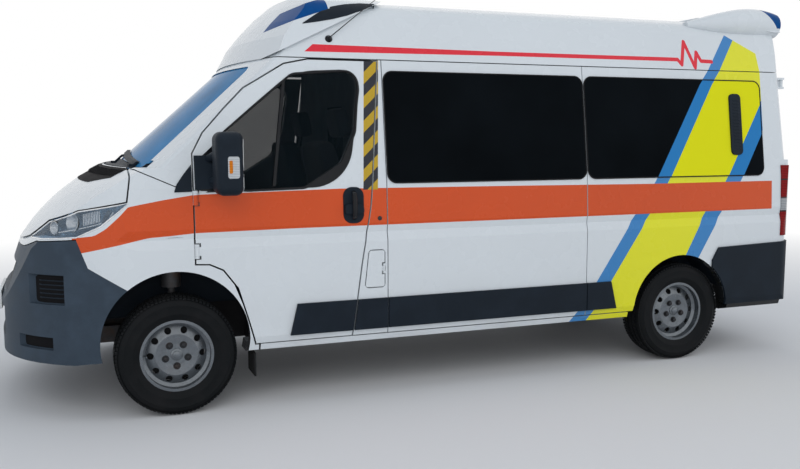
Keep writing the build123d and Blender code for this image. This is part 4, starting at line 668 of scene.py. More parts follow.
class Piece:
    """One piece's mesh while it is built."""

    def __init__(self):
        self.mesh = bmesh.new()

    def grid(self, rows, closed=False, wrap=False):
        """Quads through rows of points; closed joins each row's ends, wrap the last row to the first."""
        made = [[self.mesh.verts.new(p) for p in row] for row in rows]
        if wrap:
            made.append(made[0])
        for low, high in zip(made, made[1:]):
            count = len(low)
            for i in range(count if closed else count - 1):
                j = (i + 1) % count
                self.mesh.faces.new((low[i], low[j], high[j], high[i]))
        return made

    def cap(self, ring):
        self.mesh.faces.new(ring)

    def fan(self, ring, middle):
        """Closes a ring with triangles about a middle point."""
        centre = self.mesh.verts.new(middle)
        for i, vert in enumerate(ring):
            self.mesh.faces.new((vert, ring[(i + 1) % len(ring)], centre))

    def loft(self, rings):
        """A closed solid through rings of points, capped at both ends."""
        made = self.grid(rings, closed=True)
        self.cap(made[0])
        self.cap(made[-1])

    def block(self, centre, size, turn=None, taper=1.0):
        """A box; taper narrows its far Z end."""
        half = Vector(size) / 2
        rings = []
        for end, share in ((-1, 1.0), (1, taper)):
            ring = []
            for sx, sy in ((-1, -1), (1, -1), (1, 1), (-1, 1)):
                point = Vector((sx * half.x * share, sy * half.y * share, end * half.z))
                ring.append(Vector(centre) + (turn @ point if turn else point))
            rings.append(ring)
        self.loft(rings)

    def spun(self, profile, centre, axis, segments=32, closed=False):
        """A profile of (radius, height along axis) turned about an axis."""
        axis = Vector(axis).normalized()
        first = axis.orthogonal().normalized()
        second = axis.cross(first)
        rows = []
        for step in range(segments):
            angle = 2 * math.pi * step / segments
            out = first * math.cos(angle) + second * math.sin(angle)
            rows.append([Vector(centre) + out * r + axis * h for r, h in profile])
        if closed:
            self.grid(rows, closed=True, wrap=True)
            return
        made = self.grid(rows, wrap=True)
        for end in (0, -1):
            if profile[end][0] > MERGE:
                self.cap([row[end] for row in made[:-1]])

    def tube(self, points, radius, segments=10, end_radius=None):
        """A round bar along points, tapering to end_radius."""
        rings = []
        for index, point in enumerate(points):
            ahead = Vector(points[min(index + 1, len(points) - 1)]) - Vector(points[max(index - 1, 0)])
            ahead.normalize()
            first = first - ahead * first.dot(ahead) if index else ahead.orthogonal()
            first.normalize()
            share = index / (len(points) - 1)
            here = radius + ((end_radius or radius) - radius) * share
            rings.append(round_section(Vector(point), first, ahead.cross(first), here, segments))
        self.loft(rings)

    def gasket(self, points, outward_at, radius, segments=8):
        """A round seal along a closed loop of points; outward_at gives the outward side at a point."""
        rings = []
        for index, point in enumerate(points):
            ahead = (points[(index + 1) % len(points)] - points[index - 1]).normalized()
            first = outward_at(point)
            first = (first - ahead * first.dot(ahead)).normalized()
            rings.append(round_section(point, first, ahead.cross(first), radius, segments))
        self.grid(rings, closed=True, wrap=True)

    def plate(self, outline, lay, thick, sink=0.002, edge=0.003):
        """A moulded plate over a surface: lay turns an outline's point into a surface point and normal."""
        middle = Vector((sum(p[0] for p in outline), sum(p[1] for p in outline))) / len(outline)
        spread = max((Vector(p) - middle).length for p in outline)
        rings = []
        for share, lift in ((1.0, -sink), (1.0, thick - edge), (1.0 - edge / spread, thick)):
            ring = []
            for p in outline:
                point, normal = lay(*(middle + (Vector(p) - middle) * share))
                ring.append(point + normal * lift)
            rings.append(ring)
        made = self.grid(rings, closed=True)
        point, normal = lay(*middle)
        for ring, height in ((made[0], -sink), (made[-1], thick)):
            self.fan(ring, point + normal * height)

    def to_data(self, name):
        """The mesh with its faces turned outward; the piece is used up."""
        bmesh.ops.recalc_face_normals(self.mesh, faces=self.mesh.faces)
        data = bpy.data.meshes.new(name)
        self.mesh.to_mesh(data)
        self.mesh.free()
        return data

    def finish(self, name, material, body, slot, **options):
        """Closes the mesh, dresses it and hangs it on its body."""
        bmesh.ops.remove_doubles(self.mesh, verts=self.mesh.verts, dist=MERGE)
        return place(name, self.to_data(name), material, body, slot, **options)


def place(name, data, material, body, slot, smooth=True, bevel=0.0, replaces=()):
    """Puts a finished mesh in the scene on its body."""
    piece = bpy.data.objects.new(name, data)
    bpy.context.scene.collection.objects.link(piece)
    data.materials.clear()
    data.materials.append(MATERIALS[material])
    for face in data.polygons:
        face.use_smooth = smooth
    if smooth:
        data.set_sharp_from_angle(angle=SHARP_ANGLE)
    if bevel:
        rounding = piece.modifiers.new("rounded_edges", "BEVEL")
        rounding.width = bevel
        rounding.segments = 2
        rounding.limit_method = "ANGLE"
    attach(piece, body)
    if replaces:
        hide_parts(*replaces)
    return piece


def rounded_outline(centre, size, radius, steps=5):
    """Points round a rectangle with round corners."""
    points = []
    for corner, (sx, sy) in enumerate(((1, 1), (-1, 1), (-1, -1), (1, -1))):
        cx = centre[0] + sx * (size[0] / 2 - radius)
        cy = centre[1] + sy * (size[1] / 2 - radius)
        for step in range(steps + 1):
            angle = math.pi / 2 * (corner + step / steps)
            points.append((cx + radius * math.cos(angle), cy + radius * math.sin(angle)))
    return points


def filleted(corners, steps=14):
    """Points round a polygon of (x, z, radius) corners, each rounded by its radius."""
    points = []
    for index, (x, z, radius) in enumerate(corners):
        here = Vector((x, z))
        back = (Vector(corners[index - 1][:2]) - here).normalized()
        on = (Vector(corners[(index + 1) % len(corners)][:2]) - here).normalized()
        half = back.angle(on) / 2
        centre = here + (back + on).normalized() * radius / math.sin(half)
        start = here + back * radius / math.tan(half) - centre
        end = here + on * radius / math.tan(half) - centre
        first = math.atan2(start.y, start.x)
        sweep = (math.atan2(end.y, end.x) - first + math.pi) % (2 * math.pi) - math.pi
        for k in range(steps + 1):
            angle = first + sweep * k / steps
            points.append(centre + Vector((math.cos(angle), math.sin(angle))) * radius)
    return points


def reach(points, centre, angle):
    """How far a ray from centre runs to a closed outline of points."""
    ray = Vector((math.cos(angle), math.sin(angle)))
    furthest = 0.0
    for index, end in enumerate(points):
        start = Vector(points[index - 1]) - centre
        run = Vector(end) - centre - start
        turn = ray.x * run.y - ray.y * run.x
        if abs(turn) < 1e-9:
            continue
        distance = (start.x * run.y - start.y * run.x) / turn
        share = (start.x * ray.y - start.y * ray.x) / turn
        if 0.0 <= share <= 1.0:
            furthest = max(furthest, distance)
    return furthest


# Steps across a strip that follows a surface, and how deep it sits and how high it stands
STRIP_STEPS = 8
STRIP_SINK = 0.002
STRIP_LIFT = 0.0035
PANEL_SINK = 0.001
PANEL_LIFT = 0.002


def strip_ring(laid, sink=STRIP_SINK, lift=STRIP_LIFT):
    """A closed section over (point, normal) pairs: along them sunk, and back along them lifted."""
    under = [point - normal * sink for point, normal in laid]
    over = [point + normal * lift for point, normal in reversed(laid)]
    return under + over


def panel_rings(centre, size, radius, lay, rows=18):
    """Sections, one above the other, of a thin rounded panel on the surface that lay finds."""
    half_wide, half_high = size[0] / 2, size[1] / 2
    rings = []
    for k in range(rows + 1):
        up = -half_high * math.cos(math.pi * k / rows)
        into = max(abs(up) - (half_high - radius), 0.0)
        wide = half_wide - radius + math.sqrt(max(radius ** 2 - into ** 2, 0.0))
        laid = [lay(centre[0] + wide * (2 * s - 1), centre[1] + up) for s in shares(STRIP_STEPS)]
        rings.append(strip_ring(laid, PANEL_SINK, PANEL_LIFT))
    return rings


REPEAT_SOCKETS = {
    "ring": (("Count", "NodeSocketInt"), ("Radius", "NodeSocketFloat")),
    "row": (("Count", "NodeSocketInt"), ("Step", "NodeSocketVector")),
    "seats": (),
}


def repeat_tree(name, kind):
    """A node tree that repeats a shape round a circle, along a line or on a carrier's points."""
    tree = bpy.data.node_groups.new(name, "GeometryNodeTree")
    sockets = (("Geometry", "NodeSocketGeometry"), ("Shape", "NodeSocketObject"), *REPEAT_SOCKETS[kind],
               ("Finish", "NodeSocketMaterial"))
    for label, socket in sockets:
        tree.interface.new_socket(label, in_out="INPUT", socket_type=socket)
    tree.interface.new_socket("Geometry", in_out="OUTPUT", socket_type="NodeSocketGeometry")
    nodes, links = tree.nodes, tree.links
    given = nodes.new("NodeGroupInput")
    result = nodes.new("NodeGroupOutput")
    shape = nodes.new("GeometryNodeObjectInfo")
    copies = nodes.new("GeometryNodeInstanceOnPoints")
    real = nodes.new("GeometryNodeRealizeInstances")
    finish = nodes.new("GeometryNodeSetMaterial")
    links.new(given.outputs["Shape"], shape.inputs["Object"])
    points = given.outputs["Geometry"]
    if kind == "ring":
        circle = nodes.new("GeometryNodeMeshCircle")
        links.new(given.outputs["Count"], circle.inputs["Vertices"])
        links.new(given.outputs["Radius"], circle.inputs["Radius"])
        points = circle.outputs[0]
        index = nodes.new("GeometryNodeInputIndex")
        share = nodes.new("ShaderNodeMath")
        share.operation = "DIVIDE"
        links.new(index.outputs[0], share.inputs[0])
        links.new(given.outputs["Count"], share.inputs[1])
        angle = nodes.new("ShaderNodeMath")
        angle.operation = "MULTIPLY"
        links.new(share.outputs[0], angle.inputs[0])
        angle.inputs[1].default_value = 2 * math.pi
        turn = nodes.new("ShaderNodeCombineXYZ")
        links.new(angle.outputs[0], turn.inputs[2])
        links.new(turn.outputs[0], copies.inputs["Rotation"])
    elif kind == "row":
        line = nodes.new("GeometryNodeMeshLine")
        links.new(given.outputs["Count"], line.inputs["Count"])
        links.new(given.outputs["Step"], line.inputs["Offset"])
        points = line.outputs[0]
    else:
        turn = nodes.new("GeometryNodeInputNamedAttribute")
        turn.data_type = "FLOAT_VECTOR"
        turn.inputs["Name"].default_value = "turn"
        links.new(turn.outputs["Attribute"], copies.inputs["Rotation"])
    links.new(points, copies.inputs["Points"])
    links.new(shape.outputs["Geometry"], copies.inputs["Instance"])
    links.new(copies.outputs[0], real.inputs[0])
    links.new(real.outputs[0], finish.inputs["Geometry"])
    links.new(given.outputs["Finish"], finish.inputs["Material"])
    links.new(finish.outputs[0], result.inputs[0])
    return tree


def repeated(tree, shape_piece, values, material, seats=()):
    """A plain mesh of a shape repeated by a node tree; seats are points with the turn of the copy on each."""
    shape = bpy.data.objects.new("shape", shape_piece.to_data("shape"))
    carrier_data = bpy.data.meshes.new("carrier")
    carrier_data.from_pydata([tuple(point) for point, _ in seats], [], [])
    turns = carrier_data.attributes.new("turn", "FLOAT_VECTOR", "POINT")
    for item, (_, turn) in zip(turns.data, seats):
        item.vector = turn.to_euler()
    carrier = bpy.data.objects.new("carrier", carrier_data)
    for helper in (shape, carrier):
        bpy.context.scene.collection.objects.link(helper)
    step = carrier.modifiers.new("repeat", "NODES")
    step.node_group = tree
    values = {"Shape": shape, "Finish": MATERIALS[material], **values}
    for item in tree.interface.items_tree:
        if item.in_out == "INPUT" and item.name in values:
            step[item.identifier] = values[item.name]
    bpy.context.view_layer.update()
    graph = bpy.context.evaluated_depsgraph_get()
    made = bpy.data.meshes.new_from_object(carrier.evaluated_get(graph), depsgraph=graph)
    for helper in (carrier, shape):
        data = helper.data
        bpy.data.objects.remove(helper)
        bpy.data.meshes.remove(data)
    return made


def merged(meshes, name):
    """Several meshes as one."""
    joined = bmesh.new()
    for mesh in meshes:
        joined.from_mesh(mesh)
    data = bpy.data.meshes.new(name)
    joined.to_mesh(data)
    joined.free()
    for mesh in meshes:
        bpy.data.meshes.remove(mesh)
    return data


def wheel_frame(end, hand):
    """A wheel's centre, and the move from a disc lying in XY to the wheel, its upper face outward."""
    centre = Vector(JOINTS[f"wheel_{end}_{hand}_spin"]["pos_m"])
    turn = Matrix.Rotation(-HANDS[hand] * math.pi / 2, 4, "X")
    return centre, Matrix.Translation(centre) @ turn


class DressingOperator:
    """What every step of the dressing shares."""

    bl_options = {"REGISTER", "UNDO"}

    def execute(self, context):
        self.build(context.scene.ambulance_sizes, context.scene.ambulance_colours)
        return {"FINISHED"}


class AMBULANCE_OT_paint(DressingOperator, bpy.types.Operator):
    """Make the finishes and give each CAD node its own."""

    bl_idname = "ambulance.paint"
    bl_label = "Paint and finishes"

    def build(self, sizes, colours):
        make_materials(colours, sizes)
        for finish, names in NODE_FINISH.items():
            for name in names:
                data = NODES[name].data
                data.materials.clear()
                data.materials.append(MATERIALS[finish])


# Half of a tyre's section, columns: radius, distance from the tyre's middle
TYRE_PROFILE = [(0.194, 0.070), (0.207, 0.083), (0.222, 0.092), (0.240, 0.1015), (0.2435, 0.1035),
                (0.247, 0.1028), (0.268, 0.1070), (0.290, 0.1058), (0.2925, 0.1072), (0.297, 0.1045),
                (0.314, 0.0975), (0.3265, 0.0865), (0.3305, 0.078), (0.3325, 0.055)]
TYRE_RADIUS = 0.341
# Rows of tread blocks, columns: offset from the middle, width, drop below the tyre's radius
TREAD_ROWS = ((-0.080, 0.030, 0.006), (-0.042, 0.030, 0.0), (0.0, 0.032, 0.0), (0.042, 0.030, 0.0),
              (0.080, 0.030, 0.006))
# How deep a block sits in the carcass, its slant, and its share of the pitch
TREAD_ROOT = 0.004
TREAD_LEAN = 0.28
TREAD_SHARE = 0.74


class AMBULANCE_OT_tyres(DressingOperator, bpy.types.Operator):
    """Make the tyres, each a carcass with rows of tread blocks."""

    bl_idname = "ambulance.tyres"
    bl_label = "Tyres"

    def build(self, sizes, colours):
        tree = repeat_tree("tread_ring", "ring")
        profile = TYRE_PROFILE + [(r, -w) for r, w in reversed(TYRE_PROFILE)]
        angle = 2 * math.pi / sizes.tread_blocks
        tall = sizes.tread_depth + TREAD_ROOT
        for end, hand in CORNERS:
            carcass = Piece()
            carcass.spun(profile, (0, 0, 0), (0, 0, 1), 96, closed=True)
            parts = [carcass.to_data("carcass")]
            for index, (offset, width, drop) in enumerate(TREAD_ROWS):
                odd = index % 2
                block = Piece()
                lean = Matrix.Rotation(-TREAD_LEAN if odd else TREAD_LEAN, 3, "X")
                block.block((0, 0, 0), (tall, TYRE_RADIUS * angle * TREAD_SHARE, width), lean, 0.96)
                middle = TYRE_RADIUS - drop - tall / 2
                ring = repeated(tree, block, {"Count": sizes.tread_blocks, "Radius": middle}, "tyre_rubber")
                ring.transform(Matrix.Translation((0, 0, offset)) @ Matrix.Rotation(angle / 2 * odd, 4, "Z"))
                parts.append(ring)
            data = merged(parts, f"road_tyre_{end}_{hand}")
            data.transform(wheel_frame(end, hand)[1])
            place(data.name, data, "tyre_rubber", f"wheel_{end}_{hand}", "rubber",
                  replaces=(f"tyre_{end}_{hand}",))


# Sections of a wheel nut, as shares of its radius, and of the hub cap, columns: radius, height
NUT_PROFILE = ((0.0, 0.020), (0.45, 0.020), (0.62, 0.017), (0.9, 0.016), (1.0, 0.012), (1.0, 0.003),
               (1.45, 0.0025), (1.5, -0.004))
CAP_PROFILE = ((0.0, 0.016), (0.016, 0.016), (0.022, 0.013), (0.0235, 0.008), (0.030, 0.007),
               (0.034, 0.004), (0.035, -0.006))
# Dark drum behind a rim's holes, columns: radius, offset towards the outside
BRAKE_DRUM = ((0.066, -0.010), (0.066, 0.008), (0.152, 0.006), (0.160, 0.0), (0.160, -0.010))


class AMBULANCE_OT_wheel_nuts(DressingOperator, bpy.types.Operator):
    """Put nuts, a hub cap and a valve on each rim, and a drum behind it."""

    bl_idname = "ambulance.wheel_nuts"
    bl_label = "Wheel nuts, caps and drums"

    def build(self, sizes, colours):
        tree = repeat_tree("nut_ring", "ring")
        for end, hand in CORNERS:
            centre, seat = wheel_frame(end, hand)
            side = HANDS[hand]
            wheel = f"wheel_{end}_{hand}"
            start = centre + Vector((sizes.nut_circle, side, 0))
            face = abs(meet((f"rim_{end}_{hand}",), start, (0, -side, 0))[0].y - centre.y)
            nut = Piece()
            nut.spun([(share * sizes.nut_radius, h) for share, h in NUT_PROFILE], (0, 0, 0), (0, 0, 1), 12)
            nuts = repeated(tree, nut, {"Count": sizes.nut_count, "Radius": sizes.nut_circle}, "nut_steel")
            quarter_pitch = Matrix.Rotation(math.pi / (2 * sizes.nut_count), 4, "Z")
            nuts.transform(seat @ Matrix.Translation((0, 0, face)) @ quarter_pitch)
            nuts.name = f"wheel_nuts_{end}_{hand}"
            place(nuts.name, nuts, "nut_steel", wheel, "steel")
            cap = Piece()
            cap.spun(CAP_PROFILE, (0, 0, face), (0, 0, 1), 36)
            cap.tube([(0.168, 0, face - 0.012), (0.166, 0, face + 0.010)], 0.0042, 8)
            drum = Piece()
            drum.spun(BRAKE_DRUM, (0, 0, 0), (0, 0, 1), 48, closed=True)
            for piece, name, finish in ((cap, "hub_cap", "rim_steel"), (drum, "brake_drum", "flap_rubber")):
                made = piece.finish(f"{name}_{end}_{hand}", finish, wheel, "steel")
                made.data.transform(seat)


# Where the covers and the bowls behind them face: ahead, out to the side, and up
LAMP_FACING = (0.6, 0.8, 0.1)
BOWL_FACING = (0.82, 0.56, 0.08)
BOWL_DEPTH = 0.050
LAMP_WALL = 0.003
# Reflector bowls, columns: X, Z, radius; and the bulb's section, columns: radius, height
LAMP_BOWLS = ((2.285, 1.110, 0.052), (2.385, 1.078, 0.034))
BULB_PROFILE = ((0.0, 0.024), (0.009, 0.022), (0.011, 0.014), (0.008, 0.0))
# Dark blade at the lamp's rear end, and the bright line along its lower edge, as X and Z
LAMP_BLADE = ((2.118, 1.112), (2.140, 1.108), (2.108, 1.176), (2.084, 1.180))
LAMP_LINE = ((2.075, 1.168), (2.100, 1.128), (2.150, 1.103), (2.220, 1.086), (2.300, 1.068), (2.360, 1.056))
# Ribs in a row from X and Z to X and Z
LAMP_RIBS = 11
RIBS_FROM = Vector((2.150, 1.146))
RIBS_TO = Vector((2.232, 1.126))


class AMBULANCE_OT_headlamps(DressingOperator, bpy.types.Operator):
    """Split the headlamps into lens and housing, and set reflectors, ribs and bars between them."""

    bl_idname = "ambulance.headlamps"
    bl_label = "Headlamps"

    def build(self, sizes, colours):
        ahead, out, up = LAMP_FACING
        aim = lambda middle: Vector((ahead, math.copysign(out, middle.y), up)).normalized()
        for name, material, slot, keep in (
            ("lamp_covers", "headlamp_lens", "lamp_lens", True),
            ("lamp_housings", "lamp_housing", "black_plastic", False),
        ):
            shell, outside = outside_faces("headlamps", aim)
            chosen = set(outside)
            gone = [face for face in shell.faces if (face in chosen) != keep]
            bmesh.ops.delete(shell, geom=gone, context="FACES")
            data = bpy.data.meshes.new(name)
            shell.to_mesh(data)
            shell.free()
            made = place(name, data, material, "body", slot, replaces=() if keep else ("headlamps",))
            thick = made.modifiers.new("wall", "SOLIDIFY")
            thick.thickness = LAMP_WALL
            thick.offset = -1.0
        edging = Piece()
        for loop in pane_edges("headlamps", aim):
            edging.gasket([point - aim(point) * 0.002 for point in loop], aim, 0.0045)
        edging.finish("lamp_edging", "bright_reflector", "body", "lamp_lens")
        fins = repeat_tree("fin_seats", "seats")
        for hand, side in HANDS.items():
            self.insides(hand, side, fins)

    def insides(self, hand, side, fins):
        """What shows through one lamp's cover."""
        on_lens = lambda x, z: side_point(("headlamps",), x, z, side)
        ahead, out, up = BOWL_FACING
        aim = Vector((ahead, side * out, up)).normalized()
        bright, dark, trim = Piece(), Piece(), Piece()
        for x, z, size in LAMP_BOWLS:
            point, normal = on_lens(x, z)
            base = point - normal * BOWL_DEPTH
            bright.spun([(0.004, -0.004), (size * 0.45, 0.002), (size * 0.8, 0.012), (size, 0.028),
                         (size + 0.002, 0.028), (size * 0.84, 0.008), (size * 0.45, -0.004), (0.004, -0.009)],
                        base, aim, 32, closed=True)
            bright.spun(BULB_PROFILE, base, aim, 16)
            dark.spun([(size + 0.002, 0.028), (size + 0.007, 0.027), (size + 0.007, 0.021),
                       (size + 0.002, 0.021)], base, aim, 32, closed=True)
        dark.plate(LAMP_BLADE, on_lens, -0.006, 0.014, 0.001)
        behind = [on_lens(x, z) for x, z in LAMP_LINE]
        trim.tube([point - normal * 0.012 for point, normal in behind], 0.0045, 8)
        seats = []
        for share in shares(LAMP_RIBS - 1):
            point, normal = on_lens(*RIBS_FROM.lerp(RIBS_TO, share))
            along = Vector((0, 0, 1)).cross(normal).normalized()
            up = normal.cross(along)
            seats.append((point - normal * 0.022, Matrix((along, normal, up)).transposed()))
        fin = Piece()
        fin.block((0, 0, 0), (0.0045, 0.012, 0.062), taper=0.9)
        ribs = repeated(fins, fin, {}, "bright_reflector", seats)
        place(f"lamp_ribs_{hand}", ribs, "bright_reflector", "body", "lamp_lens", smooth=False)
        bright.finish(f"lamp_reflectors_{hand}", "bright_reflector", "body", "lamp_lens")
        dark.finish(f"lamp_bezels_{hand}", "gloss_black", "body", "black_plastic")
        trim.finish(f"lamp_trim_{hand}", "bright_reflector", "body", "lamp_lens")


class AMBULANCE_OT_cowl_vent(DressingOperator, bpy.types.Operator):
    """Lay the finned air vent on the bonnet's rear edge."""

    bl_idname = "ambulance.cowl_vent"
    bl_label = "Cowl vent"

    def build(self, sizes, colours):
        vent = Piece()
        rings, seats = [], []
        for share in shares(COWL_STATIONS):
            across = 2 * share - 1
            front = COWL_BACK + COWL_LENGTH * min(1.0, (1.0 - abs(across)) * 1.2 + 0.62)
            section = ((COWL_BACK, -COWL_SINK), (COWL_BACK, COWL_LIFT), (front, COWL_LIFT * 0.6),
                       (front, -COWL_SINK))
            rings.append([self.on_bonnet(ahead, COWL_HALF * across, high) for ahead, high in section])
        vent.loft(rings)
        # The plate under the fins is near black: black plastic with painted shade of the openings between the
        # fins
        vent.finish("cowl_vent", "dark_opening", "bonnet", "black_plastic")
        for share in shares(COWL_FINS - 1):
            y = (COWL_HALF - 0.03) * (2 * share - 1)
            start = self.on_bonnet(COWL_BACK + 0.012, y, COWL_LIFT)
            end = self.on_bonnet(COWL_BACK + COWL_LENGTH * 0.60, y, COWL_LIFT * 0.8)
            along = (end - start).normalized()
            up = Vector((0, 0, 1)) - along * along.z
            up.normalize()
            seats.append(((start + end) / 2, Matrix((along, up.cross(along), up)).transposed()))
        fin = Piece()
        fin.block((0, 0, 0.0015), (COWL_LENGTH * 0.50, 0.008, 0.006), taper=0.8)
        fins = repeated(repeat_tree("vent_fin_seats", "seats"), fin, {}, "flap_rubber", seats)
        place("cowl_fins", fins, "flap_rubber", "bonnet", "black_plastic", smooth=False)

    def on_bonnet(self, ahead, y, lift):
        """A point on the bonnet, so far ahead of its rear edge."""
        x = BONNET_ARC_X + math.sqrt((BONNET_ARC_RADIUS + ahead) ** 2 - y * y)
        point, normal = meet(("bonnet",), (x, y, 3.0), (0, 0, -1))
        return point + normal * lift


# Outer corners of the black frame round a cab door's glass, columns: X, Z, radius
DOOR_FRAME = (
    (1.630, 1.262, 0.02),
    (0.747, 1.283, 0.26),
    (0.627, 1.975, 0.11),
    (1.065, 1.950, 0.40),
    (1.630, 1.433, 0.02),
)
FRAME_MIDDLE = (1.05, 1.58)
# Stations round the frame, its lap over the glass, its least width, and how far off the surface is looked for
FRAME_STATIONS = 160
FRAME_LAP = 0.003
FRAME_LEAST = 0.012
FRAME_PROBE = 0.012
# Bar in the door glass: X and Z of a point on it, its lean, and its section across the glass and out from it
BAR_FOOT = (1.174, 1.411)
BAR_LEAN = 0.138
BAR_STATIONS = 32
BAR_SECTION = ((-0.012, -0.003), (-0.009, 0.007), (0.009, 0.007), (0.012, -0.003))
# Seal radius on the fixed side windows and on the doors
SIDE_SEAL = 0.004
DOOR_SEAL = 0.006


class AMBULANCE_OT_seals(DressingOperator, bpy.types.Operator):
    """Run rubber seals round the panes, and the frame and the bar of the door glass."""

    bl_idname = "ambulance.seals"
    bl_label = "Window seals"

    def build(self, sizes, colours):
        to_side = lambda middle: Vector((0, math.copysign(1.0, middle.y), 0))
        to_rear = lambda middle: Vector((-1, 0, 0))
        panes = [("side_glass", "body", to_side, SIDE_SEAL)]
        for hand in HANDS:
            panes.append((f"door_glass_{hand}", f"door_{hand}", to_side, DOOR_SEAL))
            panes.append((f"rear_glass_{hand}", f"rear_door_{hand}", to_rear, DOOR_SEAL))
        for name, body, aim, radius in panes:
            seal = Piece()
            for loop in pane_edges(name, aim):
                seal.gasket(loop, aim, radius)
            seal.finish(f"{name}_seal", "flap_rubber", body, "rubber")
        for hand, side in HANDS.items():
            self.frame(hand, side, to_side)
            self.bar(hand, side)

    def bar(self, hand, side):
        """The bar that parts a door's glass, over the heights where the glass is met."""
        glass = f"door_glass_{hand}"
        low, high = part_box(glass)
        rings = []
        for share in shares(BAR_STATIONS):
            z = low.z + (high.z - low.z) * share
            start = Vector((BAR_FOOT[0] - (z - BAR_FOOT[1]) * BAR_LEAN, RAY_START * side, z))
            point, normal, _, _ = skin(glass).ray_cast(start, Vector((0, -side, 0)))
            if point is not None:
                rings.append([point + Vector((across, 0, 0)) + normal * lift for across, lift in BAR_SECTION])
        bar = Piece()
        bar.loft(rings)
        bar.finish(f"glass_bar_{hand}", "gloss_black", f"door_{hand}", "black_plastic")

    def frame(self, hand, side, aim):
        """The black frame between a door's glass and the frame's rounded outer edge."""
        names = (f"door_{hand}", f"door_glass_{hand}")
        middle = Vector(FRAME_MIDDLE)
        glass = [Vector((p.x, p.z)) for p in pane_edges(names[1], aim)[0]]
        outer = filleted(DOOR_FRAME)
        rows = []
        for k in range(FRAME_STATIONS):
            angle = 2 * math.pi * k / FRAME_STATIONS
            ray = Vector((math.cos(angle), math.sin(angle)))
            inside = reach(glass, middle, angle) - FRAME_LAP
            outside = max(reach(outer, middle, angle), inside + FRAME_LEAST)
            ends = [middle + ray * distance for distance in (outside, inside)]
            (first, first_normal), (last, last_normal) = (side_point(names, p.x, p.y, side) for p in ends)
            laid = []
            for share in shares(STRIP_STEPS):
                normal = first_normal.lerp(last_normal, share).normalized()
                above = first.lerp(last, share) + normal * FRAME_PROBE
                nearest = skin(*names).find_nearest(above)[0]
                laid.append((above + normal * (nearest - above).dot(normal), normal))
            rows.append(strip_ring(laid))
        ring = Piece()
        ring.grid(rows, closed=True, wrap=True)
        ring.finish(f"glass_frame_{hand}", "gloss_black", f"door_{hand}", "black_plastic")


# Dark panels in the front bumper, columns: centre as Y and Z, size, corner radius
INSETS = (((0.8175, 0.7385), (0.150, 0.152), 0.02), ((0.745, 0.434), (0.196, 0.060), 0.015))
# Slats in the upper panel: from Y to Y, the lowest one's Z, how many, and the step between them
SLAT_Y = (0.760, 0.875)
SLAT_Z = 0.690
SLAT_COUNT = 5
SLAT_STEP = 0.024


class AMBULANCE_OT_bumper_insets(DressingOperator, bpy.types.Operator):
    """Line the front bumper's recesses with dark slatted panels."""

    bl_idname = "ambulance.bumper_insets"
    bl_label = "Bumper insets"

    def build(self, sizes, colours):
        slats = repeat_tree("slat_row", "row")
        for hand, side in HANDS.items():
            lay = lambda y, z: meet(("bumper_front",), (RAY_START_X, side * y, z), (-1, 0, 0))
            panel = Piece()
            for centre, size, radius in INSETS:
                panel.loft(panel_rings(centre, size, radius, lay))
            # The inset panels are near black: black plastic with painted shade in the recesses
            panel.finish(f"bumper_inset_{hand}", "dark_opening", "body", "black_plastic")
            (near, normal), (far, _) = (lay(y, SLAT_Z) for y in SLAT_Y)
            along = (far - near).normalized()
            up = Vector((0, 0, 1))
            turn = Matrix((along, up, along.cross(up))).transposed().to_4x4()
            turn.translation = (near + far) / 2 + normal * 0.006
            slat = Piece()
            slat.block((0, 0, 0), ((far - near).length, 0.009, 0.010), taper=0.7)
            step = Vector((0, SLAT_STEP, 0))
            rows = repeated(slats, slat, {"Count": SLAT_COUNT, "Step": step}, "cladding_plastic")
            rows.transform(turn)
            place(f"bumper_slats_{hand}", rows, "cladding_plastic", "body", "black_plastic", smooth=False)


# Mirror glasses, columns: centre as Y and Z, size, corner radius
MIRROR_GLASSES = (((1.150, 1.475), (0.155, 0.175), 0.03), ((1.150, 1.325), (0.155, 0.095), 0.025))
# The line that looks for a mirror's glass starts behind it, at this X
MIRROR_BEHIND = 0.5


class AMBULANCE_OT_mirrors(DressingOperator, bpy.types.Operator):
    """Fit the mirror glasses and the turn lamps to the door mirrors."""

    bl_idname = "ambulance.mirrors"
    bl_label = "Mirror glass and turn lamps"

    def build(self, sizes, colours):
        for hand, side in HANDS.items():
            trim = (f"door_trim_{hand}",)
            body = f"door_{hand}"
            on_side = lambda x, z: side_point(trim, x, z, side)
            on_back = lambda y, z: meet(trim, (MIRROR_BEHIND, side * y, z), (1, 0, 0))
            cover = Piece()
            cover.plate(rounded_outline((1.463, 1.409), (0.062, 0.118), 0.012), on_side, 0.004, 0.002, 0.002)
            cover.finish(f"turn_lamp_{hand}", "clear_lens", body, "lamp_lens")
            bulb = Piece()
            bulb.plate(rounded_outline((1.478, 1.412), (0.018, 0.070), 0.006), on_side, 0.0062, -0.001, 0.001)
            bulb.finish(f"turn_bulb_{hand}", "amber_lens", body, "lamp_lens")
            glass = Piece()
            for centre, size, radius in MIRROR_GLASSES:
                glass.loft(panel_rings(centre, size, radius, on_back))
            glass.finish(f"mirror_glass_{hand}", "mirror_face", body, "glass")


# Stations along a handle's grip, columns: share of its length, height over the panel, width
GRIP_STATIONS = ((-0.40, 0.004, 0.020), (-0.34, 0.024, 0.026), (-0.15, 0.033, 0.028), (0.15, 0.033, 0.028),
                 (0.34, 0.024, 0.026), (0.40, 0.004, 0.020))
GRIP_HALF_DEPTH = 0.009
HANDLE_CUP = (0.128, 0.216)
HANDLE_Z = 1.168


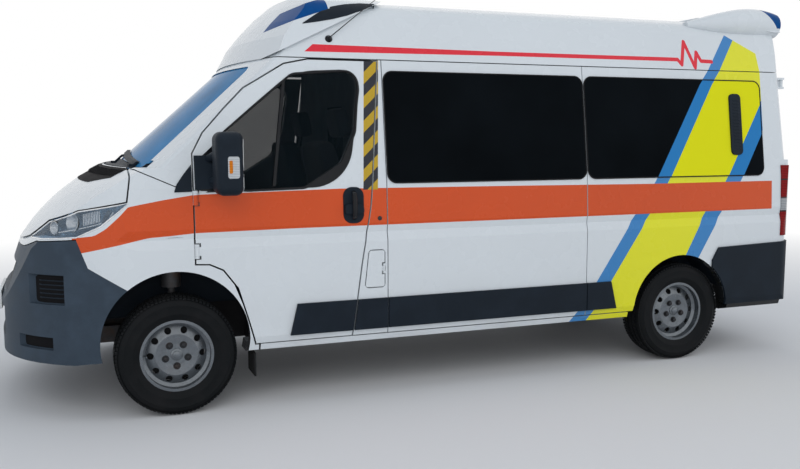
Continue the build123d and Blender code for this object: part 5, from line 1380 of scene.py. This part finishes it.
def handle(name, body, names, side, centre):
    """An upright pull handle in a moulded cup on one side of the vehicle."""
    lay = lambda x, z: side_point(names, x, z, side)
    cup = Piece()
    cup.plate(rounded_outline(centre, HANDLE_CUP, min(HANDLE_CUP) * 0.42, 8), lay, 0.006)
    cup.finish(f"{name}_cup", "cladding_plastic", body, "black_plastic")
    grip = Piece()
    rings = []
    for share, lift, wide in GRIP_STATIONS:
        point, normal = lay(centre[0], centre[1] + share * HANDLE_CUP[1])
        across = Vector((wide / 2, 0, 0))
        rings.append(round_section(point + normal * lift, across, normal * GRIP_HALF_DEPTH, 1.0, 12))
    grip.loft(rings)
    grip.finish(f"{name}_grip", "gloss_black", body, "black_plastic")


class AMBULANCE_OT_handles(DressingOperator, bpy.types.Operator):
    """Put handles and locks on the doors."""

    bl_idname = "ambulance.handles"
    bl_label = "Handles and locks"

    def build(self, sizes, colours):
        for hand, side in HANDS.items():
            handle(f"door_handle_{hand}", f"door_{hand}", (f"door_{hand}",), side, (0.716, HANDLE_Z))
        handle("sliding_handle", "body", ("sliding_door",), HANDS["right"], (0.34, HANDLE_Z))
        lock = Piece()
        point, normal = side_point(("side_left",), 0.552, 1.085, HANDS["left"])
        lock.spun([(0.0, 0.004), (0.010, 0.004), (0.013, 0.003), (0.014, -0.002)], point, normal, 20)
        lock.finish("side_lock", "nut_steel", "body", "black_plastic")
        lay = lambda y, z: meet(("rear_door_right",), (-RAY_START_X, y, z), (1, 0, 0))
        cup = Piece()
        cup.plate(rounded_outline((-0.115, 1.135), (0.15, 0.15), 0.03), lay, 0.007)
        cup.plate(rounded_outline((-0.115, 1.150), (0.11, 0.038), 0.016), lay, 0.022, -0.004)
        cup.finish("rear_handle", "cladding_plastic", "rear_door_right", "black_plastic", bevel=0.001)


# Window vent: X and Z of its middle, its size, its ribs and the heights of the first and last one
WINDOW_VENT = (-2.153, 1.655)
WINDOW_VENT_SIZE = (0.098, 0.430)
VENT_RIBS = 16
VENT_RIBS_Z = (1.485, 1.825)
# Corners of the trim at a mirror's foot, as X and Z
MIRROR_FOOT = ((1.655, 1.270), (1.752, 1.268), (1.738, 1.310), (1.700, 1.365), (1.655, 1.420))


class AMBULANCE_OT_side_trim(DressingOperator, bpy.types.Operator):
    """Add the ribbed window vents, the mirror foot trims and the sliding rail."""

    bl_idname = "ambulance.side_trim"
    bl_label = "Vents, foot trims and rail"

    def build(self, sizes, colours):
        ribs = repeat_tree("rib_row", "row")
        for hand, side in HANDS.items():
            lay = lambda x, z: side_point(("side_glass",), x, z, side)
            vent = Piece()
            vent.plate(rounded_outline(WINDOW_VENT, WINDOW_VENT_SIZE, 0.03), lay, 0.012)
            vent.finish(f"window_vent_{hand}", "cladding_plastic", "body", "black_plastic")
            (low, normal), (high, _) = (lay(WINDOW_VENT[0], z) for z in VENT_RIBS_Z)
            rib = Piece()
            rib.block((0, 0, 0), (0.062, 0.010, 0.003), taper=0.7)
            step = Vector((0, (high - low).length / (VENT_RIBS - 1), 0))
            data = repeated(ribs, rib, {"Count": VENT_RIBS, "Step": step}, "cladding_plastic")
            turn = Matrix((Vector((1, 0, 0)), (high - low).normalized(), normal)).transposed().to_4x4()
            turn.translation = low + normal * 0.0135
            data.transform(turn)
            place(f"vent_ribs_{hand}", data, "cladding_plastic", "body", "black_plastic", smooth=False)
            foot = Piece()
            foot.plate(MIRROR_FOOT, lambda x, z: side_point(("wings", "cab_frame"), x, z, side), 0.010)
            foot.finish(f"mirror_foot_{hand}", "cladding_plastic", "body", "black_plastic", bevel=0.003)
        rail = Piece()
        lay = lambda x, z: side_point(("side_right",), x, z, HANDS["right"])
        rail.plate(rounded_outline((-1.72, 1.285), (1.40, 0.022), 0.008), lay, 0.004)
        rail.finish("sliding_rail", "cladding_plastic", "body", "black_plastic")


# Painted shade in the cove behind each front beacon, laid as a dark strip, columns: X, low Y, low Z, high Y,
# high Z
FAIRING_COVE_SHADE = (
    (0.972, 0.860, 2.232, 0.859, 2.236),
    (0.880, 0.854, 2.248, 0.836, 2.297),
    (0.785, 0.847, 2.268, 0.806, 2.344),
    (0.690, 0.837, 2.294, 0.783, 2.366),
    (0.590, 0.817, 2.331, 0.764, 2.379),
    (0.495, 0.775, 2.372, 0.763, 2.380),
)
COVE_STATIONS = 25


class AMBULANCE_OT_fairing_cove_shades(DressingOperator, bpy.types.Operator):
    """Lay dark strips as painted shade in the coves behind the front beacons."""

    bl_idname = "ambulance.fairing_vents"
    bl_label = "Fairing cove shades"

    def build(self, sizes, colours):
        for hand, side in HANDS.items():
            inward = Vector((0, -side * 0.7, -0.7))
            rings = []
            for station in shares(COVE_STATIONS):
                run = station * (len(FAIRING_COVE_SHADE) - 1)
                index = min(int(run), len(FAIRING_COVE_SHADE) - 2)
                before, after = Vector(FAIRING_COVE_SHADE[index]), Vector(FAIRING_COVE_SHADE[index + 1])
                x, low_y, low_z, high_y, high_z = before.lerp(after, run - index)
                low, high = Vector((x, side * low_y, low_z)), Vector((x, side * high_y, high_z))
                spots = [low.lerp(high, share) for share in shares(STRIP_STEPS)]
                rings.append(strip_ring([meet(("fairing_front", "roof"), p - inward, inward) for p in spots]))
            vent = Piece()
            vent.loft(rings)
            vent.finish(f"fairing_vent_{hand}", "cladding_plastic", "body", "black_plastic")


# Plan of the liner behind a front wheel, outer face then inner face, columns: X, Y
ARCH_LINER = ((1.300, 0.905), (1.300, 0.580), (1.620, 0.580), (1.620, 0.574), (1.294, 0.574), (1.294, 0.905))
LINER_LOW = 0.33
LINER_HIGH = 0.56


class AMBULANCE_OT_arch_liners(DressingOperator, bpy.types.Operator):
    """Carry the front wheel housings on downwards."""

    bl_idname = "ambulance.arch_liners"
    bl_label = "Arch liners"

    def build(self, sizes, colours):
        for hand, side in HANDS.items():
            liner = Piece()
            liner.loft([[Vector((x, side * y, z)) for x, y in ARCH_LINER] for z in (LINER_LOW, LINER_HIGH)])
            liner.finish(f"arch_liner_{hand}", "flap_rubber", "body", "black_plastic")


# Section of the aerial's foot, columns: radius, height; and the way the rod points
AERIAL_FOOT = ((0.0, 0.022), (0.008, 0.022), (0.012, 0.014), (0.020, 0.008), (0.024, -0.003))
AERIAL_LEAN = (-0.78, -0.10, 0.62)


class AMBULANCE_OT_aerial(DressingOperator, bpy.types.Operator):
    """Raise the aerial on the roof's left front edge."""

    bl_idname = "ambulance.aerial"
    bl_label = "Aerial"

    def build(self, sizes, colours):
        point, normal = side_point(("roof", "fairing_front"), 0.815, 2.150, HANDS["left"])
        base = Piece()
        base.spun(AERIAL_FOOT, point, normal, 24)
        base.finish("aerial_foot", "gloss_black", "body", "black_plastic")
        rod = Piece()
        start = point + normal * 0.018
        rod_run = Vector(AERIAL_LEAN).normalized() * sizes.aerial_length
        rod.tube([start + rod_run * share for share in shares(6)], 0.0032, 8, 0.0016)
        rod.finish("aerial_rod", "gloss_black", "body", "black_plastic")


# Middles of the blank plates as Y and Z, and their corner radius
PLATE_FRONT = (0.0, 0.600)
PLATE_REAR = (0.42, 0.80)
PLATE_CORNER = 0.012


class AMBULANCE_OT_plates(DressingOperator, bpy.types.Operator):
    """Fix blank number plates at both ends."""

    bl_idname = "ambulance.plates"
    bl_label = "Blank plates"

    def build(self, sizes, colours):
        size = (sizes.plate_width, sizes.plate_height)
        start, back = (RAY_START_X, *PLATE_FRONT), Vector((-1, 0, 0))
        x = meet(("bumper_front", "grille"), start, back)[0].x + 0.006
        front = Piece()
        flat = lambda y, z: (Vector((x, y, z)), Vector((1, 0, 0)))
        front.plate(rounded_outline(PLATE_FRONT, size, PLATE_CORNER), flat, 0.004, 0.014)
        front.finish("plate_front", "plate_white", "body", "white_paint")
        start, ahead = (-RAY_START_X, *PLATE_REAR), Vector((1, 0, 0))
        rear_x = meet(("rear_door_left", "rear_door_right"), start, ahead)[0].x - 0.001
        rear = Piece()
        flat = lambda y, z: (Vector((rear_x, y, z)), Vector((-1, 0, 0)))
        rear.plate(rounded_outline(PLATE_REAR, size, PLATE_CORNER), flat, 0.005, 0.001)
        rear.finish("plate_rear", "plate_white", "rear_door_left", "white_paint")


# How square a cushion's outline is: 1 is an ellipse, 0 a box
PILLOW_POWER = 0.32
PILLOW_STEPS = 44
# Height of the crown, and depth and half width of a sewn channel
PILLOW_CROWN = 0.018
CHANNEL_DEPTH = 0.008
CHANNEL_HALF = 0.012


def squared(value):
    """A sine or cosine drawn out towards 1 or -1."""
    return math.copysign(abs(value) ** PILLOW_POWER, value)


def pillow(piece, centre, size, turn, seams):
    """A crowned cushion with sewn channels, closed all round."""
    rows = []
    for i in range(1, PILLOW_STEPS):
        lift = math.pi * i / PILLOW_STEPS - math.pi / 2
        girth, height = squared(math.cos(lift)), squared(math.sin(lift))
        row = []
        for k in range(PILLOW_STEPS * 2):
            angle = math.pi * k / PILLOW_STEPS
            shape = (girth * squared(math.cos(angle)), girth * squared(math.sin(angle)), height)
            x, y, z = (share * full / 2 for share, full in zip(shape, size))
            if z > 0:
                dome = (1 - (2 * x / size[0]) ** 2) * (1 - (2 * y / size[1]) ** 2)
                z += PILLOW_CROWN * max(0.0, dome)
                if abs(x) < 0.47 * size[0]:
                    z -= sum(CHANNEL_DEPTH * math.exp(-((y - seam) / CHANNEL_HALF) ** 2) for seam in seams)
            row.append(Vector(centre) + turn @ Vector((x, y, z)))
        rows.append(row)
    made = piece.grid(rows, closed=True)
    for ring in (made[0], made[-1]):
        piece.fan(ring, sum((v.co for v in ring), Vector()) / len(ring))


# Distance of a seat's middle from the vehicle's, and the tilts of cushion and back
SEAT_Y = 0.47
SEAT_TILT = math.radians(-3)
SEAT_BACK_TILT = math.radians(-78)


class AMBULANCE_OT_seats(DressingOperator, bpy.types.Operator):
    """Upholster the two cab seats."""

    bl_idname = "ambulance.seats"
    bl_label = "Cab seats"

    def build(self, sizes, colours):
        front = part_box("cab_seats")[1].x
        tilt = Matrix.Rotation(SEAT_BACK_TILT, 3, "Y")
        level = Matrix.Rotation(SEAT_TILT, 3, "Y")
        for hand, side in HANDS.items():
            y = side * SEAT_Y
            parts = (
                ("seat_cushion", (front - 0.245, y, 0.885), (0.49, 0.50, 0.13), level, (-0.15, 0.15)),
                ("seat_back", (front - 0.548, y, 1.235), (0.62, 0.49, 0.12), tilt, (-0.145, 0.145)),
                ("head_rest", (front - 0.628, y, 1.662), (0.185, 0.26, 0.085), tilt, ()),
            )
            for name, centre, size, turn, seams in parts:
                pad = Piece()
                pillow(pad, centre, size, turn, seams)
                first = name == "seat_cushion" and hand == "left"
                made = pad.finish(f"{name}_{hand}", "seat_cloth", "body", "seat_fabric",
                                  replaces=("cab_seats",) if first else ())
            stand = Piece()
            stand.block((front - 0.27, y, 0.685), (0.42, 0.44, 0.27), taper=1.05)
            for post in (-0.06, 0.06):
                stand.tube([(front - 0.604, y + post, 1.50), (front - 0.622, y + post, 1.62)], 0.007, 8)
            stand.finish(f"seat_stand_{hand}", "trim_plastic", "body", "black_plastic", bevel=0.012)


# Studio lamps, columns: name, place, size, power
LAMPS = (
    ("key", (4.5, 8.5, 4.8), 8.5, 350.0),
    ("fill", (-6.5, 6.5, 4.8), 8.5, 190.0),
    ("top", (0.0, 0.0, 8.0), 7.0, 70.0),
    ("far", (-1.0, -8.5, 4.8), 8.5, 280.0),
)
LAMPS_AIM = (0.0, 0.0, 1.0)
WORLD_COLOUR = (0.80, 0.88, 1.0, 1.0)
WORLD_STRENGTH = 0.45
WHITE = (1.0, 1.0, 1.0, 1.0)
# The photograph's camera: place, turns, focal length and picture width in pixels
CAMERA_PLACE = (2.287, 5.903, 1.579)
CAMERA_YAW = math.radians(20.9)
CAMERA_PITCH = math.radians(6.53)
CAMERA_ROLL = math.radians(-0.05)
FOCAL_PIXELS = 864.4
PICTURE_WIDTH = 800.0
SENSOR_WIDTH = 36.0
# The floor fades to white between these distances, and farther out along the vehicle
FLOOR_FADE = (3.2, 8.5)
FLOOR_STRETCH = (0.8, 1.0, 0.0)
FLOOR_DROP = 0.0005


def background_rays(tree):
    """1 for the rays that see the white background: the camera's, and those by way of metal and glass."""
    path = tree.nodes.new("ShaderNodeLightPath")
    shown = path.outputs["Is Camera Ray"]
    for kind in ("Is Glossy Ray", "Is Transmission Ray"):
        either = tree.nodes.new("ShaderNodeMath")
        either.operation = "MAXIMUM"
        tree.links.new(shown, either.inputs[0])
        tree.links.new(path.outputs[kind], either.inputs[1])
        shown = either.outputs[0]
    return shown


class AMBULANCE_OT_stage(DressingOperator, bpy.types.Operator):
    """Set the floor, the lamps, the world and the camera."""

    bl_idname = "ambulance.stage"
    bl_label = "Studio and camera"

    def build(self, sizes, colours):
        scene = bpy.context.scene
        scene.view_settings.view_transform = "Standard"
        self.floor()
        self.world(scene)
        self.lamps(scene)
        self.camera(scene)

    def lamps(self, scene):
        """Soft lamps that light the paint without a mirrored glare on it."""
        for name, spot, size, power in LAMPS:
            lamp = bpy.data.lights.new(name, "AREA")
            lamp.energy = power
            lamp.size = size
            made = bpy.data.objects.new(name, lamp)
            made.visible_glossy = False
            made.location = spot
            made.rotation_euler = (Vector(LAMPS_AIM) - Vector(spot)).to_track_quat("-Z", "Y").to_euler()
            scene.collection.objects.link(made)

    def camera(self, scene):
        data = bpy.data.cameras.new("photo_camera")
        data.sensor_width = SENSOR_WIDTH
        data.lens = SENSOR_WIDTH * FOCAL_PIXELS / PICTURE_WIDTH
        data.clip_end = 200.0
        sine, cosine, level = math.sin(CAMERA_YAW), math.cos(CAMERA_YAW), math.cos(CAMERA_PITCH)
        ahead = Vector((-sine * level, -cosine * level, -math.sin(CAMERA_PITCH)))
        right = Vector((-cosine, sine, 0.0))
        turn = Matrix((right, right.cross(ahead), -ahead)).transposed() @ Matrix.Rotation(CAMERA_ROLL, 3, "Z")
        made = bpy.data.objects.new("photo_camera", data)
        made.matrix_world = Matrix.Translation(CAMERA_PLACE) @ turn.to_4x4()
        scene.collection.objects.link(made)
        scene.camera = made

    def floor(self):
        """A pale floor that keeps the shadow and fades to white far off."""
        shade = Shader("studio_floor")
        flat = shade.vector("MULTIPLY", shade.place.outputs["Object"], FLOOR_STRETCH)
        far = shade.remap(shade.vector("LENGTH", flat, output="Value"), *FLOOR_FADE)
        glow = shade.node("ShaderNodeEmission")
        glow.inputs["Color"].default_value = WHITE
        both = shade.node("ShaderNodeMixShader")
        shade.link(shade.both(far, background_rays(shade.tree)), both.inputs[0])
        shade.link(shade.surface.outputs[0], both.inputs[1])
        shade.link(glow.outputs[0], both.inputs[2])
        shade.link(both.outputs[0], shade.output.inputs["Surface"])
        shade.set(Base_Color=(0.80, 0.80, 0.80), Roughness=0.9, Specular_IOR_Level=0.1)
        sheet = bmesh.new()
        bmesh.ops.create_circle(sheet, cap_ends=True, radius=70.0, segments=64)
        data = bpy.data.meshes.new("studio_floor")
        sheet.to_mesh(data)
        sheet.free()
        data.materials.append(shade.material)
        made = bpy.data.objects.new("studio_floor", data)
        made.location.z = -FLOOR_DROP
        bpy.context.scene.collection.objects.link(made)

    def world(self, scene):
        """Dim bluish light from all round, behind a white background."""
        world = bpy.data.worlds.new("studio")
        scene.world = world
        world.use_nodes = True
        tree = world.node_tree
        tree.nodes.clear()
        out = tree.nodes.new("ShaderNodeOutputWorld")
        seen = tree.nodes.new("ShaderNodeBackground")
        light = tree.nodes.new("ShaderNodeBackground")
        both = tree.nodes.new("ShaderNodeMixShader")
        seen.inputs["Color"].default_value = WHITE
        light.inputs["Color"].default_value = WORLD_COLOUR
        light.inputs["Strength"].default_value = WORLD_STRENGTH
        tree.links.new(background_rays(tree), both.inputs[0])
        tree.links.new(light.outputs[0], both.inputs[1])
        tree.links.new(seen.outputs[0], both.inputs[2])
        tree.links.new(both.outputs[0], out.inputs[0])


STEPS = (
    AMBULANCE_OT_paint,
    AMBULANCE_OT_tyres,
    AMBULANCE_OT_wheel_nuts,
    AMBULANCE_OT_headlamps,
    AMBULANCE_OT_cowl_vent,
    AMBULANCE_OT_seals,
    AMBULANCE_OT_bumper_insets,
    AMBULANCE_OT_mirrors,
    AMBULANCE_OT_handles,
    AMBULANCE_OT_side_trim,
    AMBULANCE_OT_fairing_cove_shades,
    AMBULANCE_OT_arch_liners,
    AMBULANCE_OT_aerial,
    AMBULANCE_OT_plates,
    AMBULANCE_OT_seats,
    AMBULANCE_OT_stage,
)


class AMBULANCE_PT_dressing(bpy.types.Panel):
    """The dressing's steps, sizes and colours."""

    bl_idname = "AMBULANCE_PT_dressing"
    bl_label = "Van ambulance dressing"
    bl_space_type = "VIEW_3D"
    bl_region_type = "UI"
    bl_category = "Ambulance"

    def draw(self, context):
        for step in STEPS:
            self.layout.operator(step.bl_idname)
        for group in (context.scene.ambulance_sizes, context.scene.ambulance_colours):
            for key in group.bl_rna.properties.keys():
                if key not in ("rna_type", "name"):
                    self.layout.prop(group, key)


CLASSES = (AmbulanceSizes, AmbulanceColours, *STEPS, AMBULANCE_PT_dressing)


def register():
    for made in CLASSES:
        bpy.utils.register_class(made)
    bpy.types.Scene.ambulance_sizes = PointerProperty(type=AmbulanceSizes)
    bpy.types.Scene.ambulance_colours = PointerProperty(type=AmbulanceColours)


def unregister():
    del bpy.types.Scene.ambulance_colours
    del bpy.types.Scene.ambulance_sizes
    for made in reversed(CLASSES):
        bpy.utils.unregister_class(made)


def main():
    register()
    for step in STEPS:
        group, name = step.bl_idname.split(".")
        getattr(getattr(bpy.ops, group), name)()


if __name__ == "__main__":
    main()
